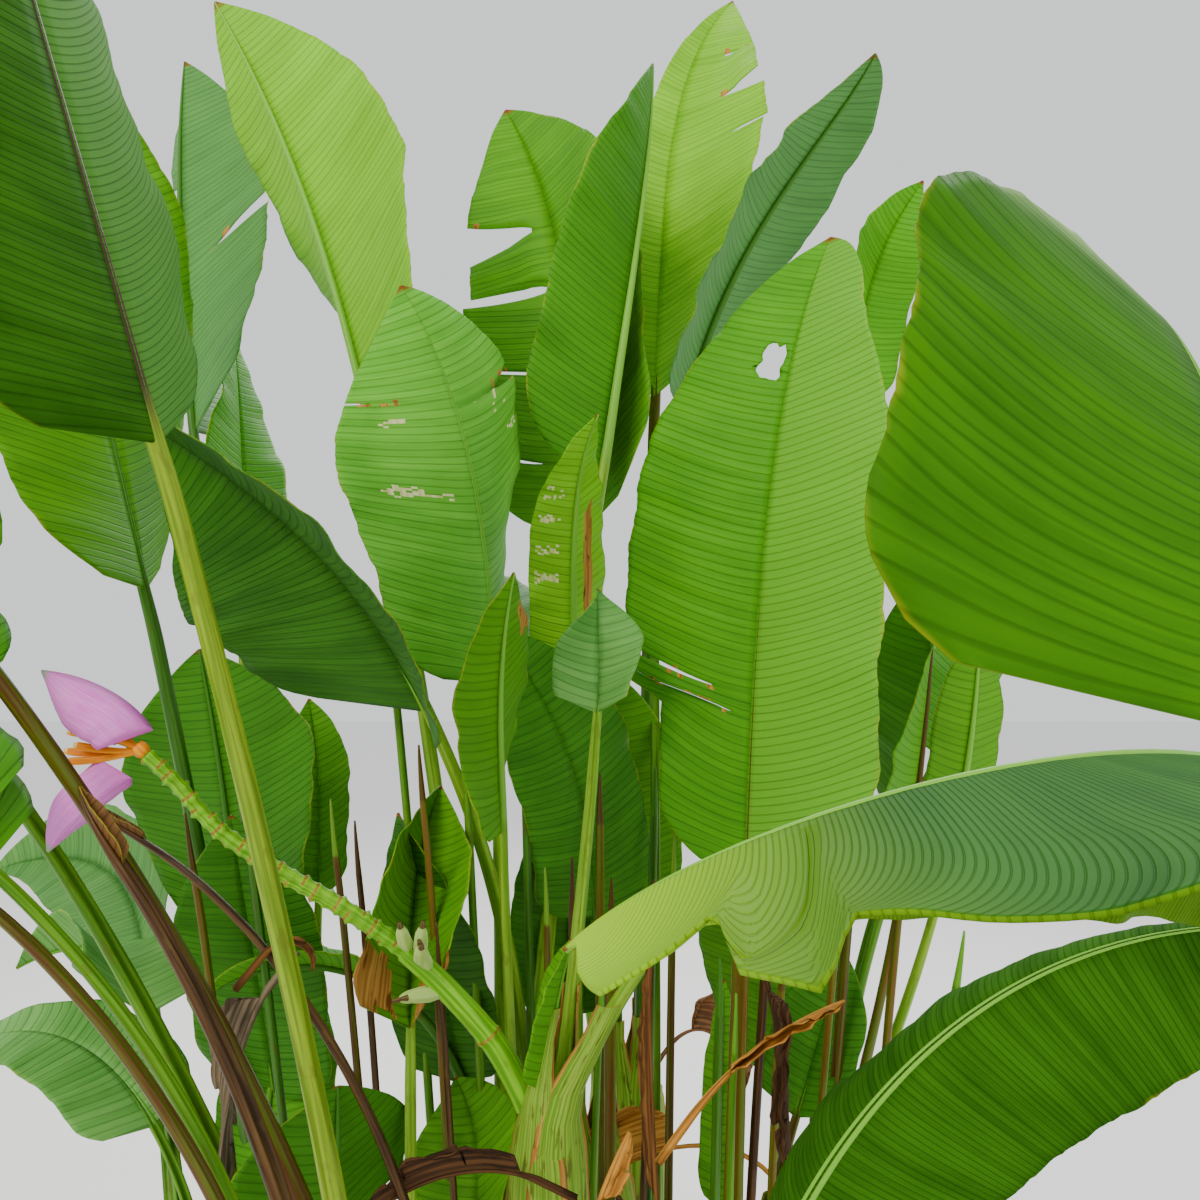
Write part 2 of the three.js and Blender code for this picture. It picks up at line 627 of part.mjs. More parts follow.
function flowerStalkSolid() {
  const shares = [0, 0.02, 0.08, 0.14, 0.21, 0.28, 0.35, SMOOTH_SHARE];
  for (let scar = 1; scar <= SCAR_COUNT; scar += 1) {
    const place = mix(SMOOTH_SHARE, 1, scar / (SCAR_COUNT + 1));
    shares.push(place - 0.008, place);
  }
  shares.push(1);
  const rings = shares.map((share, index) => {
    const centre = stalkCurve.getPointAt(share);
    const along = index === 0 ? new THREE.Vector3(0, 0, 1) : stalkCurve.getTangentAt(share);
    const across = new THREE.Vector3(0, 1, 0).cross(along).normalize();
    const up = along.clone().cross(across);
    const onScar = share > SMOOTH_SHARE && share < 1 && index % 2 === 1;
    const radius = flowerStalkRadius(share) + (onScar ? SCAR_RISE : 0);
    if (index === 0) {
      centre.z += GAP;
    }
    return circle(centre, across, up, radius, STALK_SIDES);
  });
  let solid = loft(rings);
  for (const fruit of fruits) {
    const start = stalkCurve.getPointAt(fruit.share);
    const sunk = FRUIT_SUNK / fruit.length;
    const radii = [
      [0, 3], [sunk, 3.4], [0.4, FRUIT_RADIUS], [0.75, FRUIT_RADIUS * 0.9], [0.95, 2.6], [1.06, 2],
    ];
    solid = solid.add(taperedBody(start, fruit.toward, fruit.length, radii, 7));
  }
  return solid;
}

const stalkEnd = new THREE.Vector3(...stalkLine[stalkLine.length - 1]);
const stalkEndAlong = stalkCurve.getTangentAt(1);

function flowersSolid() {
  const start = stalkEnd.clone().addScaledVector(stalkEndAlong, GAP * 2);
  let solid = taperedBody(start, stalkEndAlong.toArray(), 12, [[0, 6], [1, 7]], 8);
  for (let flower = 0; flower < FLOWER_COUNT; flower += 1) {
    const spread = flower / (FLOWER_COUNT - 1) - 0.5;
    const angle = radians(FLOWER_HEADING - FLOWER_FAN * spread);
    const sway = FLOWER_SWAY * ((flower % 2) - 0.5);
    const toward = [Math.cos(angle), sway, Math.sin(angle)];
    const root = start.clone().addScaledVector(stalkEndAlong, 5);
    const radii = [[0, 2.4], [0.5, FLOWER_RADIUS], [0.85, FLOWER_RADIUS * 1.15], [1, FLOWER_RADIUS * 0.7]];
    const length = FLOWER_LENGTH * (1 + 0.12 * Math.sin(flower * 2.3));
    solid = solid.add(taperedBody(root, toward, length, radii, 6));
  }
  return solid;
}

// Bracts are short cupped blades on the end of the flower stalk
const bracts = [
  {
    name: "upper_bract", offset: [9, 0, 14], heading: 180, lean: 8, tipLean: 84, bend: 0.5, veer: 0,
    stalk: 9, blade: 119, width: 104, roll: 180, twist: 0, slope: [30, 30], curl: [75, 75],
    thick: 3.5, thickness: 3,
  },
  {
    name: "lower_bract", offset: [-7, -4, -18], heading: 182, lean: 118, tipLean: 140, bend: 0.7, veer: 0,
    stalk: 6, blade: 100, width: 62, roll: 48, twist: 0, slope: [25, 25], curl: [40, 40],
    thick: 3.5, thickness: 3.4,
  },
];

const plant = new THREE.Group();

function addPiece(name, solid, colour, roughness) {
  const material = new THREE.MeshStandardMaterial({ color: colour, roughness, metalness: 0 });
  const mesh = new THREE.Mesh(geometryOf(solid), material);
  mesh.name = name;
  plant.add(mesh);
}

for (const stem of stems) {
  addPiece(`stem_${stem.name}`, stemSolid(stem), stemColour, 0.6);
}
for (const leaf of leaves) {
  const [blade, stalk] = leafSolids(leaf, footOf(leaf), true);
  addPiece(leaf.name, blade, leafColours[leaf.tint ?? "fresh"], 0.45);
  if (stalk) {
    addPiece(`${leaf.name}_stalk`, stalk, leafColours.fresh, 0.45);
  }
}
addPiece("flower_stalk", flowerStalkSolid(), flowerStalkColour, 0.5);
addPiece("flowers", flowersSolid(), flowerColour, 0.5);
for (const bract of bracts) {
  const foot = stalkEnd.clone().add(new THREE.Vector3(...bract.offset));
  addPiece(bract.name, leafSolids(bract, foot, false)[0], bractColour, 0.4);
}

export default plant;
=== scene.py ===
"""Dresses the ornamental pink-flowered banana plant: finer leaves, leaf stalks, stems and flowers."""
import math
import zlib

import bpy
import numpy as np
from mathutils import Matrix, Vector


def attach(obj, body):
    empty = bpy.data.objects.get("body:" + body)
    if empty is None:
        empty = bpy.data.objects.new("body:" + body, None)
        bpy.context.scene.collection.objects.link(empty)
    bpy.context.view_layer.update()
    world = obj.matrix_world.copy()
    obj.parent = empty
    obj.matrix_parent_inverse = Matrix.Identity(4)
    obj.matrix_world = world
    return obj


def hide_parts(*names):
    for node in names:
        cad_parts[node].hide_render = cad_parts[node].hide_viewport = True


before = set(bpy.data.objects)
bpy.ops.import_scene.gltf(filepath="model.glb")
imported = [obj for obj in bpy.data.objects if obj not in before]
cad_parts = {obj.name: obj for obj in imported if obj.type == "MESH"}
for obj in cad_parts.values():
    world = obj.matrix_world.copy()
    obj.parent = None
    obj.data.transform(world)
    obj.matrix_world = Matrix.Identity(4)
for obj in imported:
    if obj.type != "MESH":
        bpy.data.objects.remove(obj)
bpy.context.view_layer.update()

MM = 0.001

# Sizes of the solids, in millimetres, as their own source has them
GAP = 0.3
FOOT_DRAW_IN = 0.75
LEAN_POWER = 1.3
FOOT_RADIUS = 56
WAIST_RADIUS = 49
WAIST_HEIGHT = 110
PLACES_ROUND_TOP = 6
PLACE_RADIUS = 34
STALK_RADIUS = 12
STALK_TAPER = 0.7
FULL_STALK_BLADE = 500
THIN_STALK = 0.65
BLADE_BASE_SHARE = 0.18
BLADE_FULL_SHARE = 0.55
BLADE_POINT_POWER = 1.6
BLADE_TIP_POWER = 0.9
HALVES = ("left", "right")

# The finer leaves
RIB_STEP = 4
ROW_SPACING = 5.5
BLADE_COLUMNS = 11
BLADE_THICKNESS = 1.2
LEAST_HALF_WIDTH = 1.6
RIB_TIP_RADIUS = 1.3
VEIN_SWEEP = 0.34
VEIN_POWER = 1.5
WAVE_RISE = 6.0
WAVE_LENGTHS = (150, 96, 61)
PLEAT_RISE = 1.1
PLEAT_LENGTHS = (47, 29, 19)
RAGGED_SHARE = 0.012
FLAP_LIFT = 0.16
LEAST_ROWS = 12
ROW_CLEAR = 0.4
NARROW_BLADE = 120
NARROW_COLUMNS = 7
COLUMN_POWER = 0.9
FULL_WAVE_BLADE = 600
WAVE_POWER = 2.2
WAVE_FADE = 1.6
MARGIN_STRETCH = 0.7
RAGGED_LENGTHS = (71, 31, 17, 9)
FLAP_GRIP = 4

# Tears, holes, and dried and scraped faces. A ripple is read at a face's share times these numbers
THINNEST_TEAR = 1e-5
CLOSE = 1e-9
TEAR_ROOT = 0.08
TEAR_TAPER = 0.6
OUTLINE_LENGTHS = (97, 53, 37)
HOLE_RIPPLE = 60
HOLE_UNEVEN = 0.28
DRY_EDGE = 0.12
STRETCH_RIPPLE = 90
STRETCH_UNEVEN = 0.04
SCRAPE_RIPPLE = (900, 20)
SCRAPE_GRAIN = 0.3
SCRAPED_ABOVE = 0.55

# Leaf stalks and ribs
STALK_RING_SPACING = 14
RIB_RING_SPACING = 10
LEAST_RINGS = (6, 10)
STALK_SUNK = 40
FOOT_CLEAR = 2
KEEL_TURN = 120
RIB_TAPER_POWER = 0.85
KNOB_LENGTHS = (310, 170, 90)
KNOB_RISE = 0.03

# A leaf's sheath: where its foot lies as a share of the stem's height, how far it rises above the stem, where
# it parts from it, how far it wraps round at shares of the height, and which faces of it are dry
SHEATH_FOOT = (0.05, 0.4)
SHEATH_ROWS = 34
SHEATH_COLUMNS = 13
SHEATH_ABOVE = 110
PARTS_BELOW = 60
PARTS_OVER = 150
SHEATH_SPREAD = [(0, 105), (0.6, 80), (1, 58), (1.2, 140)]
SHEATH_THICKNESS = 1.2
SPREAD_LENGTHS = (170, 80, 41)
SPREAD_UNEVEN = 0.05
SHEATH_CLEAR = 1.5
SHEATH_EACH = 1.3
STALK_GRIP = 1.06
STALK_SLACK = 0.8
SHEATH_LIFT = 1.6
LIFT_POWER = 6
LIFT_LENGTHS = (60, 33)
SHEATH_VEIN_REACH = 60
SHEATH_DRY_FROM = 0.86
SHEATH_TORN = 0.6

# The share of its radius that the closing ring of a tube keeps
CLOSED_END = 0.02

# Stem and sheath relief
STEM_UNEVEN = 1.2
STEM_LENGTHS = (190, 90, 47)
SHEATH_LIP = 0.08
FURROWS = 23
FURROW_DEPTH = 0.5
FURROW_LENGTHS = (260, 130)
STEM_LIPS = [(0.86, 3), (0.7, -4), (0.35, -22), (0.02, -24)]
STEM_SIDES = 72
STEM_VEIN_RADIUS = 0.05
STEM_RING_SPACING = 13
SHEATH_LAYERS = 3
SHEATH_STEP = 2.6
SHEATH_TURNS = 0.9

# Metres between the plainest side veins
VEIN_SPACING = 0.0092

# How far the texture places of a right half lie from those of a left half, in metres
RIGHT_HALF_OFFSET = 3

STEMS = {
    "flower": dict(top=(0, 0), height=1000, radius=30, reach=20),
    "left": dict(top=(-105, -110), height=640, radius=50),
    "outer_left": dict(top=(-150, -218), foot=(-160, -190), height=760, radius=46),
    "low_left": dict(top=(-350, 40), height=430, radius=46),
    "far_left": dict(top=(-330, 260), height=600, radius=48),
    "mid_left": dict(top=(-60, 210), height=760, radius=50),
    "middle": dict(top=(40, 330), height=800, radius=48),
    "back": dict(top=(90, 520), height=820, radius=48),
    "mid_right": dict(top=(190, 130), height=720, radius=48),
    "far_right": dict(top=(330, 400), height=760, radius=48),
    "near_right": dict(top=(450, -560), height=620, radius=50),
    "front": dict(top=(120, -190), height=560, radius=48),
}

# What the numbers of a leaf's row are, in their order: the way it leans, how far from upright at its foot and
# at its tip, how late it bows, how far its blade turns aside, the lengths of its stalk and blade, the blade's
# width, the turn of the blade about its rib and how that changes along it, and the rise and the curl of its
# halves, left then right. Angles are in degrees.
LEAF_SIZES = (
    "heading", "lean", "tip_lean", "bend", "veer", "stalk", "blade", "width", "roll", "twist",
    "slope", "curl",
)


def leaf_row(name, *sizes, **more):
    return dict(zip(LEAF_SIZES, sizes, strict=True), name=name, **more)


# The leaves, by the same rule as their solids. All of these rows but leaf_right_outer, leaf_right_back,
# leaf_back_arching and leaf_front_low began as sizes that a least-squares program fitted to points read off
# the photograph. Programs then rounded them and moved them until no two leaves touched.
# Halves are -1 for left and 1 for right. A tear is a half, the shares of the blade it runs from and to, and
# its depth. A hole is a half, the share of the blade and of the width that its middle lies at, and its
# length and width in such shares. A scrape is a half, and a dried stretch is in a half's own list; both run
# from one share of the blade to another and from one share of the width to another. An outline gives the
# share of the plain width that a half has along the blade.
LEAVES = [
    leaf_row("leaf_left_tall", -137, 8.5, 21, 1.0, 50, 1000, 640, 390, -40, -24, (-6, 6), (-20, -16),
             stem="left", place=4, bark="plum", look="tall"),
    leaf_row("leaf_left_behind", 201, 8.5, 16, 1.7, -40, 925, 655, 320, -13, -59, (-3, 6), (-19, -13),
             stem="far_left", place=5, bark="deep", look="glow"),
    leaf_row("leaf_light_arching", 148, 8.5, 30, 2.1, 29, 815, 775, 370, 33, 39, (17, 20), (-2, 0),
             stem="mid_left", place=2, look="light", bark="pale"),
    leaf_row("leaf_scraped", 223, 0.5, 33, 4.3, -35, 645, 460, 350, -51, -20, (-8, -3), (-20, -24),
             stem="mid_left", place=6, tears=[(-1, 0.71, 0.72, 0.5), (1, 0.66, 0.7, 0.4)], dry_edge=0.3,
             detail=2, scrapes=[(-1, 0.4, 0.46, 0.15, 0.75), (1, 0.58, 0.66, 0.2, 0.9),
             (-1, 0.62, 0.66, 0.3, 0.7)], look="frost", bark="pale"),
    leaf_row("leaf_dark_slanting", 227, 0.5, 60, 1.3, -61, 650, 415, 370, -181, 57, (12, 32), (-7, 12),
             stem="mid_left", place=0, look="dark", bark="pale"),
    leaf_row("leaf_pale_behind", 108, 15, 12, 3.1, 22, 850, 495, 170, 20, 35, (13, 9), (-7, -12),
             stem="far_left", place=3, look="mid", bark="pale"),
    leaf_row("leaf_torn_grey", 124, 16, 15, 2.1, -31, 1185, 615, 360, 61, 71, (26, 20), (4, 0),
             stem="far_left", place=2, tears=[(-1, 0.4, 0.42, 0.6), (1, 0.52, 0.56, 0.7),
             (1, 0.7, 0.72, 0.5)], look="slate", bark="deep"),
    leaf_row("leaf_torn_to_rib", 103, 3.5, 40, 1.7, 25, 805, 780, 310, -50, 10, (13, 20), (-5, 0),
             stem="middle", place=1, tears=[(-1, 0.12, 0.13, 0.6), (-1, 0.3, 0.32, 0.75),
             (-1, 0.46, 0.53, 0.85), (-1, 0.61, 0.68, 0.8)], bark="brown", look="bright"),
    leaf_row("leaf_rolled_dark", 49, 7, 18, 1.5, 35, 905, 600, 240, -68, 21, (29, 39), (8, 19),
             stem="mid_left", place=1, bark="pale", look="dark_bright"),
    leaf_row("leaf_lobed_behind", 75, 5, 45, 4.4, -36, 990, 765, 320, -26, 67, (20, 19), (0, 2),
             stem="back", place=1, narrow=(0.3, 1), tears=[(1, 0.5, 0.52, 0.35), (1, 0.62, 0.64, 0.5),
             (1, 0.76, 0.79, 0.55)], look="light", bark="brown"),
    leaf_row("leaf_grey_slanting", -7, 0.5, 70, 3.6, -72, 935, 540, 240, -20, 37, (2, 2), (-16, -18),
             stem="back", place=5, look="slate", bark="deep"),
    leaf_row("leaf_centre", 39, 2.5, 37, 4.4, 11, 480, 760, 320, 21, -27, (19, 10), (0, -8),
             stem="mid_right", place=6, outline_left=[(0.08, 0.7), (0.15, 0.62), (0.24, 0.66), (0.27, 0.92),
             (0.35, 0.96), (0.5, 1.0), (0.85, 1.02)], outline_right=[(0.0, 0.97), (0.85, 1.0), (0.93, 1.3),
             (0.97, 1.6)], tears=[(-1, 0.255, 0.262, 0.7), (-1, 0.225, 0.229, 0.8)],
             holes=[(-1, 0.76, 0.2, 0.032, 0.13)], dry_edge=0.15, detail=2, look="centre", bark="brown"),
    leaf_row("leaf_right_broad", 91, 1, 95, 4.0, -22, 805, 470, 500, 17, 45, (-7, -10), (-4, -30),
             stem="near_right", place=4, outline_left=[(0.1, 1.0), (0.2, 1.03), (0.3, 0.99), (0.4, 0.94),
             (0.5, 0.9), (0.6, 0.89), (0.7, 0.8), (0.8, 0.72)], dry_left=[(0.15, 0.17, 0.96, 1.0)],
             look="sunlit", bark="pale"),
    leaf_row("leaf_front_arching", 228, 0.5, 131, 2.5, -89, 845, 350, 280, 48, -46, (-28, -50), (19, 0),
             stem="near_right", place=5, narrow=(1, 0.35), parted=True, outline_left=[(0.7, 1.0),
             (0.77, 0.86), (0.785, 1.25), (0.81, 1.15), (0.825, 0.7), (0.845, 1.0), (0.875, 1.25),
             (0.92, 1.0), (0.96, 0.55)], tears=[(-1, 0.77, 0.774, 0.92)], dry_edge=0.0, detail=2,
             look="cool", bark="pale"),
    leaf_row("leaf_low_dark", 4, 2, 109, 1.6, -40, 360, 695, 240, 33, -19, (-17, -19), (-42, -29),
             stem="front", place=6, parted=True, look="shade", bark="pale"),
    leaf_row("leaf_young_yellow", -94, 12.5, 17, 2.1, 53, 515, 275, 160, 92, -80, (14, 4), (-1, -14),
             stem="mid_left", place=5, dry_left=[(0.72, 0.86, 0.7, 1.0)], bark="pale", look="glow"),
    leaf_row("leaf_burnt_tip", 99, 15.5, 32, 1.6, -48, 445, 260, 170, -21, 84, (45, 47), (26, 27),
             stem="left", place=2, dry_left=[(0.02, 0.2, 0.3, 1.0)], dry_right=[(0.0, 0.14, 0.2, 1.0)],
             look="glow", bark="pale"),
    leaf_row("leaf_young_torn", 267, 3, 50, 3.2, 30, 600, 345, 100, 22, 1, (21, 17), (1, -3), stem="middle",
             place=4, dry_left=[(0.25, 0.62, 0.35, 0.6)], scrapes=[(1, 0.3, 0.7, 0.3, 0.9)], detail=2,
             look="light", bark="pale"),
    leaf_row("leaf_dark_ribbed", 252, 2.5, 37, 1.5, -86, 325, 385, 160, -133, 72, (4, 16), (-16, -4),
             stem="middle", place=5, bark="deep", look="mid_dark"),
    leaf_row("leaf_left_shaded", 150, 6, 14, 1.8, 11, 495, 355, 300, 67, 37, (7, 0), (-11, -20),
             stem="far_left", place=6, bark="deep", look="mid_dark"),
    leaf_row("leaf_tattered", 71, 18.5, 2, 2.7, 87, 395, 135, 100, -16, 25, (21, 21), (1, 2), stem="flower",
             place=1, bark="pale", look="pale_grey"),
    leaf_row("leaf_left_edge", 185, 13.5, 49, 1.0, -40, 940, 450, 250, 56, -80, (21, 18), (1, -2),
             stem="left", place=6, look="mid", bark="rust"),
    leaf_row("leaf_right_inner", -58, 20, 2, 1.3, 29, 470, 335, 170, 37, 26, (31, 23), (11, 6),
             stem="far_right", place=5, look="bright", bark="brown"),
    leaf_row("leaf_right_inner_small", -47, 23.5, 2, 1.7, 3, 490, 255, 100, -20, -4, (12, 14), (-8, -6),
             stem="far_right", place=0, look="glow", bark="pale"),
    leaf_row("leaf_far_left_green", 182, 3, 74, 1.0, -6, 630, 325, 280, 3, -11, (20, 20), (0, 0),
             stem="outer_left", place=3, look="mid", bark="green"),
    leaf_row("leaf_far_left_brown", 178, 7, 78, 1.1, 34, 600, 310, 260, 0, 0, (20, 20), (0, 0),
             stem="outer_left", place=4, look="mid", bark="rust"),
    leaf_row("leaf_far_left_thin", 165, 24, 68, 1.7, 4, 900, 465, 240, -6, 22, (20, 20), (0, 0),
             stem="left", place=3, look="mid", bark="green"),
    leaf_row("leaf_foot_spotted", 85, 20.5, 49, 1.0, 52, 220, 195, 140, -39, 12, (22, 24), (2, 3),
             stem="left", place=1, look="bright", bark="pale"),
    leaf_row("leaf_foot_dark", -22, 21.5, -1, 1.8, -5, 490, 145, 210, -17, 1, (13, 13), (-7, -7),
             stem="low_left", place=5, bark="deep", look="mid_dark"),
    leaf_row("leaf_bright_strip", 99, 17, 22, 2.0, 33, 530, 275, 120, -26, -5, (20, 23), (0, 3),
             stem="far_left", place=0, look="bright", bark="pale"),
    leaf_row("leaf_level_small", 197, 1, 132, 1.9, -29, 365, 190, 80, 11, -3, (24, 23), (4, 3),
             stem="mid_left", place=4, look="mid", bark="deep"),
    leaf_row("leaf_right_behind", 61, 4, 35, 2.4, -65, 1035, 380, 130, 62, 16, (27, 21), (7, 1),
             stem="far_right", place=6, look="mid", bark="brown"),
    leaf_row("leaf_low_left", 125, 5, 119, 2.5, 88, 650, 255, 160, 8, 29, (22, 20), (2, 0), stem="low_left",
             place=6, bark="green", look="pale_grey"),
    leaf_row("leaf_low_left_near", 160, 1.5, 127, 3.0, 36, 530, 275, 140, -25, 23, (6, 8), (-13, -12),
             stem="low_left", place=1, bark="green", look="pale_grey"),
    leaf_row("leaf_low_left_far", 118, 14, 109, 1.6, 65, 690, 485, 180, -43, -17, (22, 25), (3, 9),
             stem="low_left", place=2, look="slate", bark="green"),
    leaf_row("leaf_right_outer", 12, 9, 70, 1.8, 10, 600, 520, 250, 12, -10, (18, 18), (6, 6),
             stem="near_right", place=0, bark="pale", look="mid_dark"),
    leaf_row("leaf_right_back", 24, 12, 78, 1.7, -12, 560, 520, 230, -8, 12, (20, 20), (4, 4),
             stem="far_right", place=1, look="mid", bark="green"),
    leaf_row("leaf_back_arching", 118, 16, 88, 1.7, 14, 520, 560, 240, 10, 8, (18, 18), (8, 8), stem="back",
             place=3, look="dark", bark="green"),
    leaf_row("leaf_front_low", -112, 18, 92, 1.6, 12, 330, 420, 200, 8, -8, (16, 18), (10, 8), stem="front",
             place=4, look="bright", bark="green"),
    leaf_row("leaf_short_stalk", 8, 24, 42, 1.3, -9, 160, 85, 50, 0, 0, (20, 20), (0, 0), stem="flower",
             place=5, thick=11, look="light", bark="pale"),
    leaf_row("dead_stalk_thick", 166, 6, 42, 1.0, -35, 565, 80, 26, 0, 0, (60, 60), (0, 0),
             stem="outer_left", place=6, thick=10, look="dry", bark="dry"),
    leaf_row("dead_stalk_thin", 162, 1, 74, 1.3, -6, 750, 90, 16, 18, -30, (60, 60), (0, 0), stem="left",
             place=0, thick=6, look="dry", bark="dry"),
]

# Blade looks: darker and lighter green of the upper face, green of the lower face, and how far the margin
# has browned and the face is spotted. tip is another green, and the shares of the blade it comes in over.
# right is a lighter green for the right half, a painted sheen. spacing is how far apart the plainest side
# veins are, in millimetres, lines how dark the painted shade in the vein grooves is, and sheen and rough how
# the face reflects.
BLADE_LOOKS = {
    "shade": dict(dark="#1c4a02", light="#3a7014", under="#306010", brown=0.25, spots=0.1, spacing=6,
                  sheen=0.03, rough=0.75),
    # glow's bright yellow-greens are painted light shining through the leaf
    "glow": dict(dark="#448600", light="#60a400", under="#529400", brown=0.5, spots=0.35),
    # sunlit's paler tip green is a painted sheen over the upper part of the blade
    "sunlit": dict(dark="#285a00", light="#3e7a00", under="#346c00", brown=0.3, spots=0.45, sheen=0.06,
                   tip=("#8cb468", 0.66, 0.84)),
    "light": dict(dark="#66aa08", light="#8ccc20", under="#78bc14", brown=0.3, spots=0.15),
    "frost": dict(dark="#4a9a18", light="#74c438", under="#5ea824", brown=0.3, spots=0.4),
    "pale_grey": dict(dark="#50923a", light="#80bc60", under="#68a64a", brown=0.3, spots=0.3),
    "dark": dict(dark="#1e5604", light="#3a7810", under="#3a760c", brown=0.35, spots=0.2),
    "mid_dark": dict(dark="#2a6c04", light="#448c10", under="#3c8008", brown=0.35, spots=0.2),
    "dark_bright": dict(dark="#246400", light="#429004", under="#3e8400", brown=0.35, spots=0.2),
    "cool": dict(dark="#1c4c10", light="#2e681c", under="#507a04", brown=0.1, spots=0.05, spacing=1.7,
                 sheen=0.05, lines=0.09, tip=("#94c414", 0.68, 1.0)),
    "mid": dict(dark="#3c8600", light="#58a804", under="#4e9804", brown=0.4, spots=0.2),
    "bright": dict(dark="#3e7e00", light="#5ca200", under="#4c9200", brown=0.45, spots=0.3),
    "slate": dict(dark="#3a7630", light="#669e50", under="#4e8a3e", brown=0.3, spots=0.15),
    "dry": dict(dark="#4a2e14", light="#8a6030", under="#6a4722", brown=0.6, spots=0.5),
    # tall has the greens of shade, with a painted sheen green on its right half
    "tall": dict(dark="#1c4a02", light="#3a7014", under="#306010", brown=0.25, spots=0.1, spacing=6,
                 sheen=0.03, rough=0.75, right="#5c9440"),
    # centre's right green is a painted sheen on its right half
    "centre": dict(dark="#388000", light="#52a000", under="#4e9804", brown=0.4, spots=0.2,
                   right="#78bc34"),
}

# Stalk looks: the leaf stalk, its streaks, and the rib under and over the blade
STALK_LOOKS = {
    "plum": dict(base="#5c7c04", streak="#84a018", rib="#46281e"),
    "pale": dict(base="#649410", streak="#8cb42c", rib="#74b034"),
    "green": dict(base="#3f7404", streak="#609014", rib="#5c981c"),
    "deep": dict(base="#2c5c0c", streak="#44761c", rib="#3c7418"),
    "brown": dict(base="#586a08", streak="#6c4a14", rib="#54400e"),
    "rust": dict(base="#4e5a08", streak="#4e2c0c", rib="#5c8418"),
    "dry": dict(base="#5c4020", streak="#34200f", rib="#4c3216"),
}


def linear(colour):
    """A linear colour from its usual six-figure name."""
    parts = [int(colour[k:k + 2], 16) / 255 for k in (1, 3, 5)]
    return [p / 12.92 if p <= 0.04045 else ((p + 0.055) / 1.055) ** 2.4 for p in parts] + [1.0]


def smooth_step(value):
    value = np.clip(value, 0, 1)
    return value * value * (3 - 2 * value)


def seeded(name):
    return np.random.default_rng(zlib.crc32(name.encode()))


def ripple(rng, lengths):
    """A smooth seeded wave of the given lengths, about -1 to 1."""
    phases = rng.uniform(0, 2 * math.pi, len(lengths))
    sizes = 1 / np.arange(1, len(lengths) + 1)

    def wave(distance):
        terms = [
            size * np.sin(2 * math.pi * distance / length + phase)
            for size, length, phase in zip(sizes, lengths, phases)
        ]
        return sum(terms) / sizes.sum()

    return wave


# Mesh making

def add_piece(name, points, faces, materials, slots=None, uvs=None, smooth=True):
    """A mesh object from points in millimetres and faces in arrays, one for each number of corners."""
    mesh = bpy.data.meshes.new(name)
    mesh.vertices.add(len(points))
    mesh.vertices.foreach_set("co", (np.asarray(points, float) * MM).ravel())
    corners = np.concatenate([np.asarray(group, int).ravel() for group in faces])
    totals = np.concatenate([np.full(len(group), np.shape(group)[1]) for group in faces])
    mesh.loops.add(len(corners))
    mesh.loops.foreach_set("vertex_index", corners)
    mesh.polygons.add(len(totals))
    mesh.polygons.foreach_set("loop_start", np.concatenate([[0], np.cumsum(totals)[:-1]]))
    for material in materials:
        mesh.materials.append(material)
    if slots is not None:
        mesh.polygons.foreach_set("material_index", np.asarray(slots, int))
    mesh.polygons.foreach_set("use_smooth", np.full(len(totals), smooth))
    for key, values in (uvs or {}).items():
        layer = mesh.uv_layers.new(name=key)
        layer.data.foreach_set("uv", np.asarray(values, float)[corners].ravel())
    mesh.update(calc_edges=True)
    mesh.validate()
    piece = bpy.data.objects.new(name, mesh)
    bpy.context.scene.collection.objects.link(piece)
    return piece


def settle(piece, slot, *nodes):
    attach(piece, "root")
    if nodes:
        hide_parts(*nodes)


def flat(values):
    return values.reshape(-1, values.shape[-1])


def pairs(first, second):
    """Texture places from two sets of values."""
    return np.stack(np.broadcast_arrays(first, second), -1)


class Parts:
    """Collects the points, faces, slots and texture places of one piece."""

    def __init__(self):
        self.points, self.quads, self.slots, self.veins, self.shares = [], [], [], [], []
        self.count = 0

    def add(self, points, quads, slots, veins, shares):
        self.points.append(flat(points))
        self.quads.append(np.asarray(quads) + self.count)
        self.slots.append(np.broadcast_to(slots, len(quads)))
        self.veins.append(flat(veins))
        self.shares.append(flat(shares))
        self.count += len(self.points[-1])

    def add_shell(self, sheet, normals, quads, thickness, slots, veins, shares):
        """Adds a thin closed body round a sheet. slots are its faces', its underside's and its rim's."""
        body, faces, body_slots = shell(flat(sheet), flat(normals), quads, thickness, *slots)
        self.add(body, faces, body_slots, np.tile(flat(veins), (2, 1)), np.tile(flat(shares), (2, 1)))

    def piece(self, name, materials):
        uvs = {"veins": np.concatenate(self.veins), "share": np.concatenate(self.shares)}
        quads = np.concatenate(self.quads)
        points = np.concatenate(self.points)
        return add_piece(name, points, [quads], materials, np.concatenate(self.slots), uvs)


def grid_quads(rows, columns, closed=False):
    """Faces of a grid of points, row by row, closed round the columns if asked."""
    row = np.arange(rows - 1)[:, None]
    column = np.arange(columns if closed else columns - 1)[None, :]
    after = (column + 1) % columns
    a = row * columns + column
    b = row * columns + after
    return np.stack([a, b, b + columns, a + columns], -1).reshape(-1, 4)


